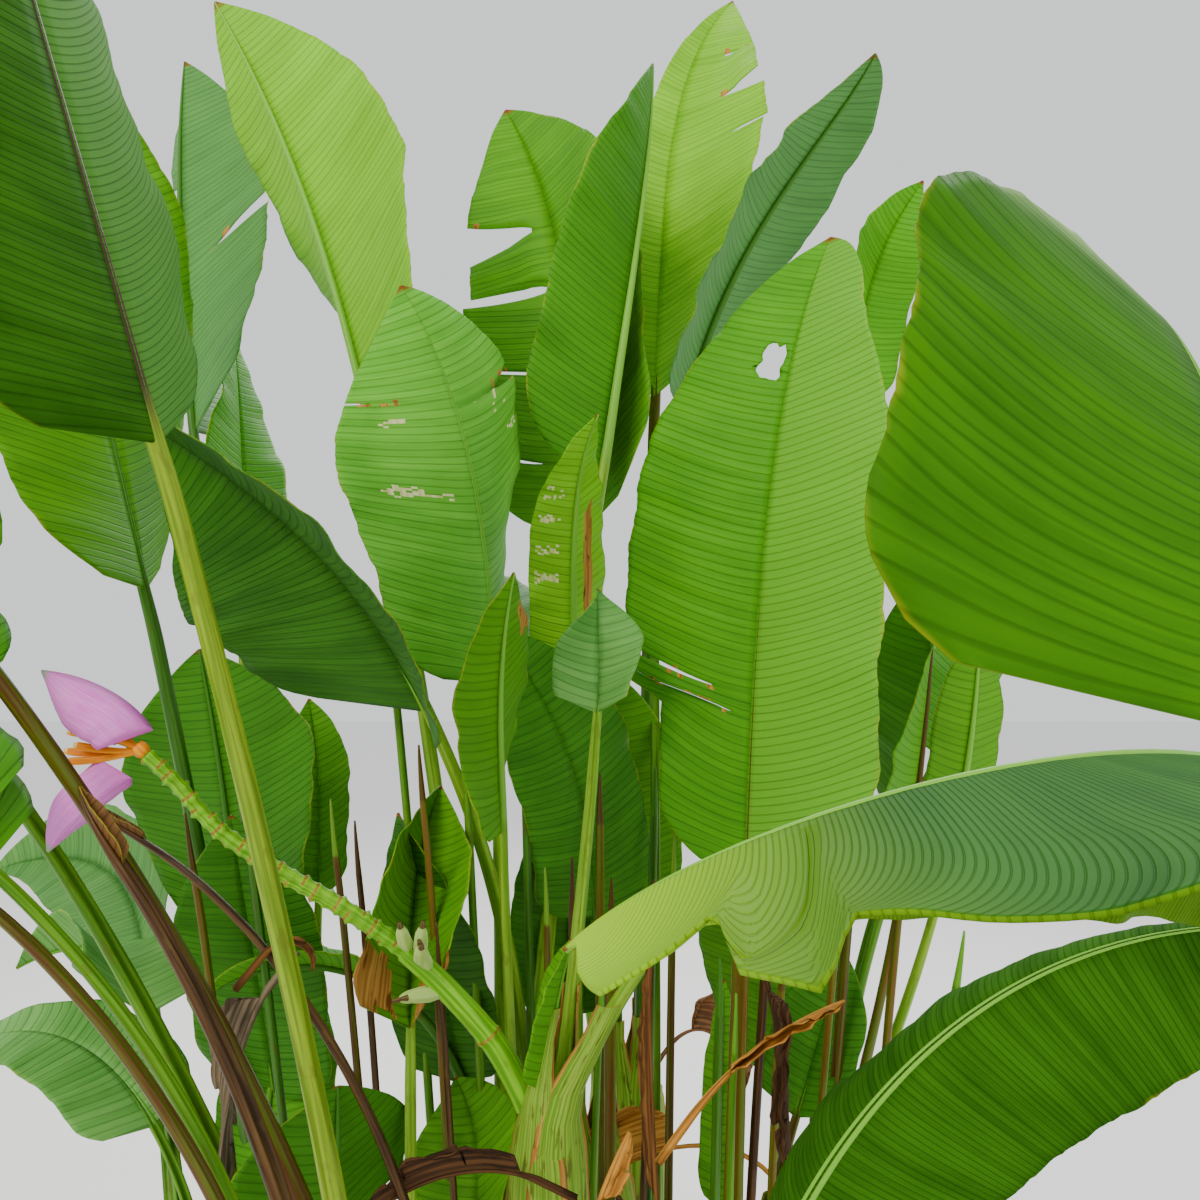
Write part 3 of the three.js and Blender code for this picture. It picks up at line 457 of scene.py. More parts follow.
def shell(points, normals, quads, thickness, slots, under_slot, rim_slot):
    """A thin closed body round a sheet of faces: its points, faces and slots."""
    half = thickness / 2
    first = points[quads[0]]
    facing = np.dot(np.cross(first[1] - first[0], first[2] - first[0]), normals[quads[0][0]])
    if facing < 0:
        quads = quads[:, ::-1]
    count = len(points)
    edges = np.stack([quads, np.roll(quads, -1, 1)], -1).reshape(-1, 2)
    owner = np.repeat(np.arange(len(quads)), 4)
    keys = edges.min(1) * count + edges.max(1)
    _, place, uses = np.unique(keys, return_index=True, return_counts=True)
    free = place[uses == 1]
    rim = edges[free]
    rim_faces = np.stack([rim[:, 1], rim[:, 0], rim[:, 0] + count, rim[:, 1] + count], -1)
    top = points + normals * half
    bottom = points - normals * half
    slots = np.asarray(slots)
    dry = slots > under_slot
    under = np.where(dry, slots, under_slot)
    rims = np.where(dry[owner[free]], slots[owner[free]], rim_slot)
    faces = np.concatenate([quads, quads[:, ::-1] + count, rim_faces])
    return np.concatenate([top, bottom]), faces, np.concatenate([slots, under, rims])


# The leaf rule of the solids

def leaf_frames(leaf, distance):
    """Directions along, out of the upper face and across a leaf, at distances from its foot."""
    distance = np.asarray(distance, float)
    share = np.clip((distance - leaf["stalk"]) / leaf["blade"], 0, 1)
    bow = (np.clip(distance, 0, None) / (leaf["stalk"] + leaf["blade"])) ** leaf["bend"]
    lean = np.radians(leaf["lean"] + (leaf["tip_lean"] - leaf["lean"]) * bow)
    heading = np.radians(leaf["heading"] + leaf["veer"] * share**2)
    roll = np.radians(leaf["roll"] + leaf["twist"] * share)
    away = np.stack([np.cos(heading), np.sin(heading), np.zeros_like(heading)], -1)
    up = np.array([0, 0, 1.0])
    along = away * np.sin(lean)[..., None] + up * np.cos(lean)[..., None]
    face = -away * np.cos(lean)[..., None] + up * np.sin(lean)[..., None]
    level = np.cross(along, face)
    out = face * np.cos(roll)[..., None] + level * np.sin(roll)[..., None]
    return along, out, np.cross(along, out)


def line_through(marks, points):
    """A function that gives the point of a line at its marks and between them."""
    return lambda place: np.stack([np.interp(place, marks, points[:, k]) for k in range(3)], -1)


def rib_line(leaf, foot):
    """A function that gives the rib's point at distances from the foot."""
    total = leaf["stalk"] + leaf["blade"]
    steps = math.ceil(total / RIB_STEP)
    middles = (np.arange(steps) + 0.5) * total / steps
    along = leaf_frames(leaf, middles)[0]
    points = foot + np.vstack([np.zeros(3), np.cumsum(along * total / steps, 0)])
    marks = np.linspace(0, total, steps + 1)
    return line_through(marks, points)


def blade_shape(share):
    base = np.sqrt(np.clip(1 - (1 - np.minimum(share / BLADE_BASE_SHARE, 1)) ** 2, 0, 1))
    beyond = np.maximum((share - BLADE_FULL_SHARE) / (1 - BLADE_FULL_SHARE), 0)
    return base * np.maximum(1 - beyond**BLADE_POINT_POWER, 0) ** BLADE_TIP_POWER


def plain_half_width(leaf, share, side):
    return leaf["width"] / 2 * blade_shape(share) * leaf.get("narrow", (1, 1))[side > 0]


def half_width(leaf, share, side):
    """The width of a half with its own outline."""
    width = plain_half_width(leaf, share, side)
    outline = leaf.get("outline_" + HALVES[side > 0])
    if outline:
        width = width * np.interp(share, *zip(*outline))
    return np.maximum(width, LEAST_HALF_WIDTH)


def stem_place(stem, level):
    """The middle of a stem and its radius at shares of its height."""
    level = np.asarray(level, float)
    top = np.array(stem["top"], float)
    foot = np.array(stem.get("foot", top * FOOT_DRAW_IN), float)
    draw = np.clip(level, 0, None) ** LEAN_POWER
    place = foot + (top - foot) * draw[..., None]
    height = level * stem["height"]
    flare = np.clip(1 - height / WAIST_HEIGHT, 0, 1)
    shaft = WAIST_RADIUS + (stem["radius"] - WAIST_RADIUS) * level
    radius = shaft + (FOOT_RADIUS - shaft) * flare**2
    return np.concatenate([place, height[..., None]], -1), radius


def foot_of(leaf):
    stem = STEMS[leaf["stem"]]
    angle = leaf["place"] / PLACES_ROUND_TOP * 2 * math.pi
    reach = stem.get("reach", PLACE_RADIUS) if leaf["place"] < PLACES_ROUND_TOP else 0
    x, y = stem["top"]
    return np.array([x + math.cos(angle) * reach, y + math.sin(angle) * reach, stem["height"] + GAP])


def stalk_radius(leaf):
    return leaf.get("thick", STALK_RADIUS * min(max(leaf["blade"] / FULL_STALK_BLADE, THIN_STALK), 1))


# Leaf blades

# The material slots of a blade's faces
UPPER_FACE, LOWER_FACE, DRY_FACE, SCRAPED_FACE = range(4)


def blade_rows(leaf, tears):
    """Shares of the rows of one half, the flap each belongs to, and how deep it is cut from the next."""
    count = max(int(leaf["blade"] / ROW_SPACING), LEAST_ROWS) * leaf.get("detail", 1)
    space = 1 / count
    clear = space * ROW_CLEAR
    rows = list(np.linspace(0, 1, count + 1))
    for start, end, _ in tears:
        rows = [row for row in rows if row < start - clear or row > end + clear]
        inner = max(int((end - start) / space / 2), 1)
        rows += [start + (end - start) * k / inner for k in range(inner + 1)]
    shares = np.array(sorted(rows))
    flaps = np.zeros(len(shares), int)
    cuts = np.zeros(len(shares) - 1)
    for start, end, depth in tears:
        flaps += shares > (start + end) / 2
        inside = (shares[:-1] > start - CLOSE) & (shares[1:] < end + CLOSE)
        cuts[inside] = np.maximum(cuts[inside], depth)
    return shares, flaps, cuts


def flap_start(shares, tears):
    """How far from the rib a flap is free to lift, at each row."""
    if not tears:
        return np.ones_like(shares)
    marks, starts = [0.0], [1.0]
    for start, end, depth in tears:
        marks += [start, end]
        starts += [1 - depth, 1 - depth]
    return np.interp(shares, marks + [1.0], starts + [1.0])


def open_tear(share, reach, tears):
    """Tears end narrow near the rib: rows beside one draw together there."""
    for start, end, depth in tears:
        middle = (start + end) / 2
        inside = (share > start - CLOSE) & (share < end + CLOSE)
        spread = TEAR_ROOT + (1 - TEAR_ROOT) * np.clip((reach - (1 - depth)) / depth, 0, 1) ** TEAR_TAPER
        share = np.where(inside, middle + (share - middle) * spread, share)
    return share


def in_hole(leaf, side, shares, reach, shape):
    """Which faces lie in one of the leaf's holes."""
    inside = np.zeros(shares.shape, bool)
    for hole_side, share, across, length, width in leaf.get("holes", []):
        if hole_side == side:
            along = (shares - share) / length
            aside = (reach - across) / width
            angle = np.arctan2(aside, along)
            edge = 1 + HOLE_UNEVEN * shape(angle * HOLE_RIPPLE)
            inside |= along**2 + aside**2 < edge**2
    return inside


def round_holes(leaf, side, share, reach, gone, shape):
    """Moves the points at the edge of a hole onto its outline."""
    cut = np.zeros(share.shape, int)
    for rows, columns in ((0, 0), (0, 1), (1, 0), (1, 1)):
        cut[rows:len(gone) + rows, columns:gone.shape[1] + columns] += gone
    rim = (cut > 0) & (cut < 4)
    for hole_side, middle, across, length, width in leaf.get("holes", []):
        if hole_side == side:
            angle = np.arctan2((reach - across) / width, (share - middle) / length)
            size = 1 + HOLE_UNEVEN * shape(angle * HOLE_RIPPLE)
            share = np.where(rim, middle + length * size * np.cos(angle), share)
            reach = np.where(rim, across + width * size * np.sin(angle), reach)
    return share, reach


def face_places(shares, reach):
    """Where the middles of the faces lie, as shares of the blade and of the width."""
    face_share = (shares[:-1, None] + shares[1:, None]) / 2 + np.zeros(len(reach) - 1)
    face_reach = (reach[None, :-1] + reach[None, 1:]) / 2 + np.zeros((len(shares) - 1, 1))
    return face_share, face_reach


def beside(gone):
    """The faces next to those that a tear takes away."""
    near = np.zeros_like(gone)
    near[:-1] |= gone[1:]
    near[1:] |= gone[:-1]
    near[:, 1:] |= gone[:, :-1]
    near[:, :-1] |= gone[:, 1:]
    return near


def worn_faces(leaf, side, gone, face_share, face_reach, shape, rng):
    """The dried and the scraped faces of one half."""
    dry = beside(gone) & (rng.random(gone.shape) < leaf.get("dry_edge", DRY_EDGE))
    scraped = np.zeros_like(gone)
    edge = STRETCH_UNEVEN * shape(face_reach * STRETCH_RIPPLE)

    def stretch(start, end, low, high):
        along_it = (face_share > start + edge) & (face_share < end + edge)
        return along_it & (face_reach > low) & (face_reach < high)

    for limits in leaf.get("dry_" + HALVES[side > 0], []):
        dry |= stretch(*limits)
    for scraped_side, *limits in leaf.get("scrapes", []):
        if scraped_side == side:
            streak = shape(face_share * SCRAPE_RIPPLE[0] + SCRAPE_RIPPLE[1] * face_reach)
            streak = streak + rng.normal(0, SCRAPE_GRAIN, gone.shape)
            scraped |= stretch(*limits) & (streak > SCRAPED_ABOVE)
    return dry, scraped


def blade_half(parts, leaf, line, side, rng):
    blade = leaf["blade"]
    tears = sorted(tear[1:] for tear in leaf.get("tears", []) if tear[0] == side)
    tears = [(start, max(end, start + THINNEST_TEAR), depth) for start, end, depth in tears]
    shares, flaps, cuts = blade_rows(leaf, tears)
    columns = (BLADE_COLUMNS if leaf["width"] > NARROW_BLADE else NARROW_COLUMNS) * leaf.get("detail", 1)
    reach = np.linspace(0, 1, columns + 1) ** COLUMN_POWER
    share, across_share = np.meshgrid(shares, reach, indexing="ij")
    shape = ripple(rng, OUTLINE_LENGTHS)
    face_share, face_reach = face_places(shares, reach)
    holed = in_hole(leaf, side, face_share, face_reach, shape)
    share, across_share = round_holes(leaf, side, share, across_share, holed, shape)
    shift = VEIN_SWEEP * plain_half_width(leaf, share, side) / blade * across_share**VEIN_POWER
    swept = np.minimum(share + shift * np.sqrt(np.clip(1 - share, 0, 1)), 1)
    if tears:
        swept = open_tear(share, across_share, tears) + swept - share
    distance = leaf["stalk"] + swept * blade
    out, across = leaf_frames(leaf, distance)[1:]
    wave = ripple(rng, [length * blade / FULL_WAVE_BLADE for length in WAVE_LENGTHS])
    pleat = ripple(rng, PLEAT_LENGTHS)
    ragged = ripple(rng, RAGGED_LENGTHS)
    width = half_width(leaf, swept, side) * (1 + RAGGED_SHARE * ragged(distance) * across_share)
    width = width * (1 + leaf.get("margin", 0) * across_share**2 * wave(distance * MARGIN_STRETCH))
    extent = across_share * width
    slope = math.radians(leaf["slope"][side > 0])
    turn = math.radians(leaf["curl"][side > 0]) * across_share
    chord = (extent * np.sinc(turn / 2 / math.pi))[..., None]
    rise = (slope + turn / 2)[..., None]
    normal = out * np.cos(slope + turn)[..., None] - across * side * np.sin(slope + turn)[..., None]
    point = line(distance) + across * side * chord * np.cos(rise) + out * chord * np.sin(rise)
    fade = np.minimum(blade_shape(swept) * WAVE_FADE, 1)
    wavy = WAVE_RISE * leaf.get("wavy", 1.0) * min(blade / FULL_WAVE_BLADE, 1)
    bump = wavy * across_share**WAVE_POWER * wave(distance) * fade
    bump = bump + PLEAT_RISE * np.sin(across_share * math.pi / 2) * pleat(share * blade) * fade
    free = flap_start(shares, tears)[:, None]
    lifts = rng.normal(0, FLAP_LIFT, flaps.max() + 1)[flaps][:, None]
    beyond = np.clip(across_share - free, 0, 1)
    bump = bump + lifts * beyond * width * np.minimum(beyond * FLAP_GRIP, 1)
    point = point + normal * bump[..., None]
    gone = (cuts[:, None] > 0) & (face_reach > 1 - cuts[:, None])
    dry, scraped = worn_faces(leaf, side, gone, face_share, face_reach, shape, rng)
    kept = ~(gone | holed).ravel()
    quads = grid_quads(len(shares), columns + 1)[kept]
    slots = np.where(scraped, SCRAPED_FACE, np.where(dry, DRY_FACE, UPPER_FACE)).ravel()[kept]
    veins = pairs(share * blade * MM + RIGHT_HALF_OFFSET * (side > 0), extent * MM)
    all_slots = (slots, LOWER_FACE, LOWER_FACE)
    parts.add_shell(point, normal, quads, BLADE_THICKNESS, all_slots, veins, pairs(swept, across_share))


# Leaf stalks and ribs: a channelled section that turns into a flat-topped keel
CHANNEL = np.array([
    (-0.72, 0.66), (-0.95, 0.3), (-1, -0.15), (-0.82, -0.6), (-0.42, -0.92), (0, -1.02), (0.42, -0.92),
    (0.82, -0.6), (1, -0.15), (0.95, 0.3), (0.72, 0.66), (0.45, 0.42), (0, 0.12), (-0.45, 0.42),
])
KEEL = np.array([
    (-0.5, 0.2), (-0.64, 0.02), (-0.86, -0.4), (-0.78, -0.85), (-0.42, -1.18), (0, -1.28), (0.42, -1.18),
    (0.78, -0.85), (0.86, -0.4), (0.64, 0.02), (0.5, 0.2), (0.28, 0.12), (0, -0.12), (-0.28, 0.12),
])


# The material slots of a leaf stalk's and its sheath's faces
BARK_FACE, SHEATH_FACE, TORN_FACE = range(3)


def end_faces(rows, sides):
    """Flat faces over both ends of a tube with an even number of sides."""
    faces = []
    for row in (0, rows - 1):
        left = row * sides + np.arange(sides)
        right = left[::-1]
        strip = [[left[k], left[k + 1], right[k + 1], right[k]] for k in range(sides // 2 - 1)]
        faces += [face[::-1] for face in strip] if row == 0 else strip
    return np.array(faces)


def leaf_stalk(parts, leaf, line, rng):
    stalk, blade = leaf["stalk"], leaf["blade"]
    marks = [-STALK_SUNK, -STALK_SUNK / 2]
    marks += list(np.linspace(0, stalk, max(int(stalk / STALK_RING_SPACING), LEAST_RINGS[0])))
    marks += list(np.linspace(stalk, stalk + blade, max(int(blade / RIB_RING_SPACING), LEAST_RINGS[1]))[1:])
    marks = np.array(marks)
    inside = np.clip(marks, 0, None)
    share = np.clip((marks - stalk) / blade, 0, 1)
    along, out, across = leaf_frames(leaf, inside)
    middle = line(inside) + along * np.minimum(marks, 0)[:, None]
    radius = stalk_radius(leaf)
    thick = radius * (1 + (STALK_TAPER - 1) * np.clip(inside / stalk, 0, 1))
    rib = radius * STALK_TAPER * (1 - share) ** RIB_TAPER_POWER + RIB_TIP_RADIUS * share
    thick = np.where(share > 0, rib, thick) * (1 + KNOB_RISE * ripple(rng, KNOB_LENGTHS)(marks))
    turned = smooth_step((marks - stalk + KEEL_TURN / 2) / KEEL_TURN)
    section = CHANNEL * (1 - turned[:, None, None]) + KEEL * turned[:, None, None]
    point = middle[:, None] + thick[:, None, None] * (
        across[:, None] * section[..., :1] + out[:, None] * section[..., 1:]
    )
    sides = len(CHANNEL)
    quads = np.concatenate([grid_quads(len(marks), sides, closed=True), end_faces(len(marks), sides)])
    veins = pairs(marks[:, None] * MM, np.arange(sides) * radius / 3 * MM)
    places = np.broadcast_to(np.stack([share, turned], -1)[:, None], (len(marks), sides, 2))
    parts.add(point, quads, BARK_FACE, veins, places)


def sheath(parts, leaf, line, order, rng):
    """The leaf's sheath: it wraps its stem and closes round the foot of the leaf's stalk."""
    stem = STEMS[leaf["stem"]]
    top = stem["height"]
    angle = leaf["place"] / PLACES_ROUND_TOP * 2 * math.pi
    rise = np.linspace(rng.uniform(*SHEATH_FOOT) * top, top + SHEATH_ABOVE, SHEATH_ROWS)
    centre, radius = stem_place(stem, np.clip(rise / top, 0, 1))
    centre[:, 2] = rise
    stalk_at = line(np.clip(rise - top, 0, None))
    stalk_at[:, 2] = rise
    away = smooth_step((rise - top + PARTS_BELOW) / PARTS_OVER)
    middle = centre * (1 - away)[:, None] + stalk_at * away[:, None]
    layer = radius + SHEATH_CLEAR + SHEATH_EACH * order + SHEATH_STEP
    round_stalk = stalk_radius(leaf) * STALK_GRIP + STALK_SLACK
    size = layer * (1 - away) + round_stalk * away
    spread = np.radians(np.interp(rise / top, *zip(*SHEATH_SPREAD)))
    spread = spread * (1 + SPREAD_UNEVEN * ripple(rng, SPREAD_LENGTHS)(rise))
    turn = np.linspace(-1, 1, SHEATH_COLUMNS)
    heading = angle + turn[None] * spread[:, None]
    normal = np.stack([np.cos(heading), np.sin(heading), np.zeros_like(heading)], -1)
    uneven = 1 + ripple(rng, LIFT_LENGTHS)(rise)
    lift = SHEATH_LIFT * np.abs(turn[None]) ** LIFT_POWER * uneven[:, None] * (1 - away)[:, None]
    point = middle[:, None] + normal * (size[:, None] + lift)[..., None]
    quads = grid_quads(SHEATH_ROWS, SHEATH_COLUMNS)
    at_edge = np.abs((turn[:-1] + turn[1:]) / 2) > SHEATH_DRY_FROM
    dry = at_edge[None] & np.ones((SHEATH_ROWS - 1, 1), bool)
    dry[:2] = rng.random((2, SHEATH_COLUMNS - 1)) < SHEATH_TORN
    slots = np.where(dry.ravel(), TORN_FACE, SHEATH_FACE)
    veins = pairs(rise[:, None] * MM, turn[None] * SHEATH_VEIN_REACH * MM + order)
    places = pairs((rise / top)[:, None], turn[None])
    parts.add_shell(point, normal, quads, SHEATH_THICKNESS, (slots, SHEATH_FACE, TORN_FACE), veins, places)


# Stems: tubes with the relief of sheaths that overlap

def stem_body(parts, name, rng):
    stem = STEMS[name]
    level = np.linspace(0, 1, max(int(stem["height"] / STEM_RING_SPACING), LEAST_ROWS))
    centre, radius = stem_place(stem, level)
    rise = level * stem["height"]
    around = np.linspace(0, 2 * math.pi, STEM_SIDES, endpoint=False)
    start = rng.uniform(0, 2 * math.pi)
    turn = around[None] - start + SHEATH_TURNS * level[:, None]
    layer = (turn / (2 * math.pi) * SHEATH_LAYERS) % 1
    relief = SHEATH_STEP * (smooth_step(layer / SHEATH_LIP) * (1 - layer) - 0.5)
    furrow = FURROW_DEPTH * np.sin(around * FURROWS + 2 * ripple(rng, FURROW_LENGTHS)(rise)[:, None])
    size = radius[:, None] + relief + furrow
    size = size + STEM_UNEVEN * ripple(rng, STEM_LENGTHS)(rise)[:, None]
    normal = np.stack([np.cos(around), np.sin(around), np.zeros(STEM_SIDES)], -1)
    body = centre[:, None] + normal[None] * size[..., None]
    rings = [centre[0] + normal * (size[0] * CLOSED_END)[:, None], *body]
    rings += [centre[-1] + normal * (size[-1] * share)[:, None] + [0, 0, up] for share, up in STEM_LIPS]
    point = np.array(rings)
    point[:, :, 2] = np.maximum(point[:, :, 2], 0)
    quads = grid_quads(len(point), STEM_SIDES, closed=True)
    heights = point[:, :, 2]
    veins = pairs(heights * MM, around * STEM_VEIN_RADIUS)
    places = pairs(heights / stem["height"], layer_of(heights, layer))
    parts.add(point, quads, BARK_FACE, veins, places)


def layer_of(heights, layer):
    """The place within its sheath of every point, also of those that close the ends."""
    rows = np.clip(np.arange(len(heights)) - 1, 0, len(layer) - 1)
    return layer[rows]


# Materials

def new_group(name, inputs, outputs):
    group = bpy.data.node_groups.new(name, "ShaderNodeTree")
    for key, value in inputs:
        socket = group.interface.new_socket(key, in_out="INPUT", socket_type="NodeSocketFloat")
        socket.default_value = value
    for key in outputs:
        group.interface.new_socket(key, in_out="OUTPUT", socket_type="NodeSocketFloat")
    return group, group.nodes.new("NodeGroupInput"), group.nodes.new("NodeGroupOutput")


class Net:
    """Short ways to add nodes to one node tree."""

    def __init__(self, tree):
        self.tree = tree

    def put(self, kind, **values):
        node = self.tree.nodes.new(kind)
        for key, value in values.items():
            setattr(node, key, value)
        return node

    def feed(self, socket, value):
        if isinstance(value, bpy.types.NodeSocket):
            self.tree.links.new(value, socket)
        else:
            socket.default_value = value

    def math(self, operation, *values):
        node = self.put("ShaderNodeMath", operation=operation)
        for socket, value in zip(node.inputs, values):
            self.feed(socket, value)
        return node.outputs[0]

    def plus(self, first, second):
        return self.math("ADD", first, second)

    def minus(self, first, second):
        return self.math("SUBTRACT", first, second)

    def times(self, first, second):
        return self.math("MULTIPLY", first, second)

    def ramp(self, value, low, high, start=0.0, end=1.0):
        node = self.put("ShaderNodeMapRange", interpolation_type="SMOOTHSTEP")
        ends = {"Value": value, "From Min": low, "From Max": high, "To Min": start, "To Max": end}
        for key, given in ends.items():
            self.feed(node.inputs[key], given)
        return node.outputs[0]

    def place(self, key):
        node = self.put("ShaderNodeUVMap", uv_map=key)
        split = self.put("ShaderNodeSeparateXYZ")
        self.tree.links.new(node.outputs[0], split.inputs[0])
        return split.outputs[0], split.outputs[1]

    def vector(self, x, y, z=0.0):
        node = self.put("ShaderNodeCombineXYZ")
        for socket, value in zip(node.inputs, (x, y, z)):
            self.feed(socket, value)
        return node.outputs[0]

    def noise(self, vector, scale, detail=2.0):
        node = self.put("ShaderNodeTexNoise")
        self.tree.links.new(vector, node.inputs["Vector"])
        node.inputs["Scale"].default_value = scale
        node.inputs["Detail"].default_value = detail
        return node.outputs[0]

    def mix(self, share, first, second):
        node = self.put("ShaderNodeMix", data_type="RGBA")
        self.feed(node.inputs["Factor"], share)
        colours = [socket for socket in node.inputs if socket.type == "RGBA"]
        for socket, value in zip(colours, (first, second)):
            self.feed(socket, value)
        return [socket for socket in node.outputs if socket.type == "RGBA"][0]


def blade_marks():
    """Veins, browned margin and spots of a leaf blade."""
    group, given, made = new_group(
        "blade_marks",
        [("Brown", 0.3), ("Spots", 0.2), ("Seed", 0.0), ("Spacing", VEIN_SPACING)],
        ["Ridges", "Lines", "Patches", "Brown", "Yellow", "Height"],
    )
    net = Net(group)
    along, aside = net.place("veins")
    share, reach = net.place("share")
    seed = given.outputs["Seed"]
    wide = net.noise(net.vector(along, net.times(aside, 0.05), seed), 120, 1.5)
    fine = net.noise(net.vector(along, net.times(aside, 0.02), seed), 420, 1.0)
    ridges = net.ramp(wide, 0.34, 0.66)
    patches = net.ramp(net.noise(net.vector(along, aside, seed), 9, 3.0), 0.3, 0.7)
    drift = net.noise(net.vector(along, net.times(aside, 0.25), seed), 14, 2.0)
    count = net.math("DIVIDE", along, given.outputs["Spacing"])
    count = net.plus(count, net.times(drift, 1.6))
    from_middle = net.math("ABSOLUTE", net.minus(net.math("FRACT", count), 0.5))
    # Thin lines at the side veins; the blade paint darkens them as painted shade in their grooves
    lines = net.ramp(from_middle, 0.34, 0.49)
    height = net.minus(net.times(fine, 0.5), net.times(lines, 0.8))
    uneven = net.noise(net.vector(along, net.times(aside, 0.3), seed), 26, 3.0)
    edge = net.plus(reach, net.times(net.minus(uneven, 0.5), 0.12))
    limit = net.minus(1.045, net.times(given.outputs["Brown"], 0.06))
    margin = net.ramp(net.minus(edge, limit), 0.0, 0.02)
    tip = net.ramp(net.plus(share, net.times(uneven, 0.03)), 0.995, 1.01)
    cells = net.put("ShaderNodeTexVoronoi")
    group.links.new(net.vector(along, aside, seed), cells.inputs["Vector"])
    cells.inputs["Scale"].default_value = 26
    chosen = net.math("LESS_THAN", net.noise(net.vector(along, aside, 4.0), 5, 1.0), given.outputs["Spots"])
    dots = net.times(net.ramp(cells.outputs["Distance"], 0.035, 0.06, 1.0, 0.0), chosen)
    results = dict(
        Ridges=net.plus(net.times(ridges, 0.6), net.times(fine, 0.4)),
        Lines=lines,
        Patches=patches,
        Brown=net.math("MAXIMUM", margin, tip),
        Yellow=net.math("MAXIMUM", dots, net.ramp(net.minus(edge, limit), -0.04, 0.0, 0.0, 0.4)),
        Height=height,
    )
    for key, value in results.items():
        group.links.new(value, made.inputs[key])
    return group


def stalk_marks():
    """Long streaks and flecks of leaf stalks, sheaths and stems."""
    group, given, made = new_group("stalk_marks", [("Seed", 0.0)], ["Streaks", "Flecks", "Rings", "Height"])
    net = Net(group)
    along, aside = net.place("veins")
    seed = given.outputs["Seed"]
    long = net.noise(net.vector(net.times(along, 0.03), aside, seed), 240, 2.0)
    fleck = net.noise(net.vector(net.times(along, 0.4), aside, seed), 90, 3.0)
    broad = net.noise(net.vector(along, net.times(aside, 0.6), seed), 9, 2.0)
    results = dict(
        Streaks=net.ramp(long, 0.38, 0.62),
        Flecks=net.ramp(fleck, 0.56, 0.68),
        Rings=net.ramp(broad, 0.35, 0.65),
        Height=net.plus(long, net.times(fleck, 0.4)),
    )
    for key, value in results.items():
        group.links.new(value, made.inputs[key])
    return group


BLADE_MARKS = blade_marks()
STALK_MARKS = stalk_marks()
MADE = {}
BUMP_DEPTH = 0.0015
SHEEN_LEVEL = 0.16


def new_material(name, marks, given, paint, roughness, bump, depth=BUMP_DEPTH, coat=0.0, sheen=SHEEN_LEVEL):
    """A material whose colour paint() mixes from the effects of one node group."""
    if name in MADE:
        return MADE[name]
    material = bpy.data.materials.new(name)
    material.use_nodes = True
    net = Net(material.node_tree)
    shader = material.node_tree.nodes["Principled BSDF"]
    effects = net.put("ShaderNodeGroup", node_tree=marks)
    for key, value in given.items():
        effects.inputs[key].default_value = value
    net.feed(shader.inputs["Base Color"], paint(net, effects.outputs))
    shader.inputs["Roughness"].default_value = roughness
    shader.inputs["Coat Weight"].default_value = coat
    shader.inputs["Specular IOR Level"].default_value = sheen
    relief = net.put("ShaderNodeBump")
    relief.inputs["Strength"].default_value = bump
    relief.inputs["Distance"].default_value = depth
    net.feed(relief.inputs["Height"], effects.outputs["Height"])
    net.feed(shader.inputs["Normal"], relief.outputs[0])
    MADE[name] = material
    return material


def shade_of(colour, factor):
    return [min(part * factor, 1) for part in linear(colour)[:3]] + [1.0]


# How dark the side-vein lines are painted, and the tone they darken to: painted shade in the grooves between
# the pleats
GROOVE_SHADE_DEPTH = 0.36
LINE_SHADE = 0.5
# How far the right half turns to its painted sheen green
RIGHT_SHEEN_SHARE = 0.6
UNDER_SHADES = (0.8, 1.15)
BLADE_ROUGH = 0.55
FLECK_DEPTH = 0.4
YELLOWED = linear("#b4b418")
BROWNED = linear("#7a4810")

# Materials of streaks and flecks: the colours of the streaks, dark and light, and of the flecks
STREAKED_LOOKS = {
    "dried_leaf": dict(seed=2.2, colours=("#98662a", "#bc8c44", "#6c4218"), flecks=1.0, rough=0.85, bump=0.7),
    "scraped": dict(seed=9.2, colours=("#c8cc80", "#e4e0a8", "#a8a450"), rough=0.7, bump=0.3),
    "flower_stalk_green": dict(seed=3.4, colours=("#549404", "#80c010", "#5c7a14"), rough=0.4, bump=0.3,
                               coat=0.1),
    "flower_stalk_scar": dict(seed=3.9, colours=("#7c6420", "#9c8434", "#46300f"), rough=0.75, bump=0.6),
    "fruit_green": dict(seed=4.4, colours=("#a4c060", "#c8dc90", "#7c9c3c"), rough=0.5, bump=0.3),
    "fruit_tip": dict(seed=4.9, colours=("#4a3a22", "#6c5a34", "#2c2214"), rough=0.8, bump=0.5),
    "flower_orange": dict(seed=6.1, colours=("#e07c00", "#f0a008", "#c45c00"), rough=0.45, bump=0.3),
    "flower_mouth": dict(seed=6.4, colours=("#f0b840", "#ffdc80", "#c87c14"), rough=0.5, bump=0.3),
    "dried_brown": dict(seed=7.0, colours=("#4a2c14", "#7c5228", "#2c1a0c"), rough=0.85, bump=0.8),
    "dried_dark": dict(seed=7.0, colours=("#2c1c10", "#553820", "#180f08"), rough=0.85, bump=0.8),
    "dried_tan": dict(seed=7.0, colours=("#8c5a20", "#c08838", "#4a2c10"), rough=0.85, bump=0.8),
    "dried_grey": dict(seed=7.0, colours=("#4c4030", "#7c6c54", "#2c241a"), rough=0.85, bump=0.8),
}

# Slot names for the blades of some looks; leaf_fresh is the name for the others
LEAF_SLOTS = {
    "leaf_deep": ("dark", "shade", "tall", "mid_dark", "cool"),
    "leaf_grey": ("slate", "frost", "pale_grey"),
    "dead": ("dry",),
}


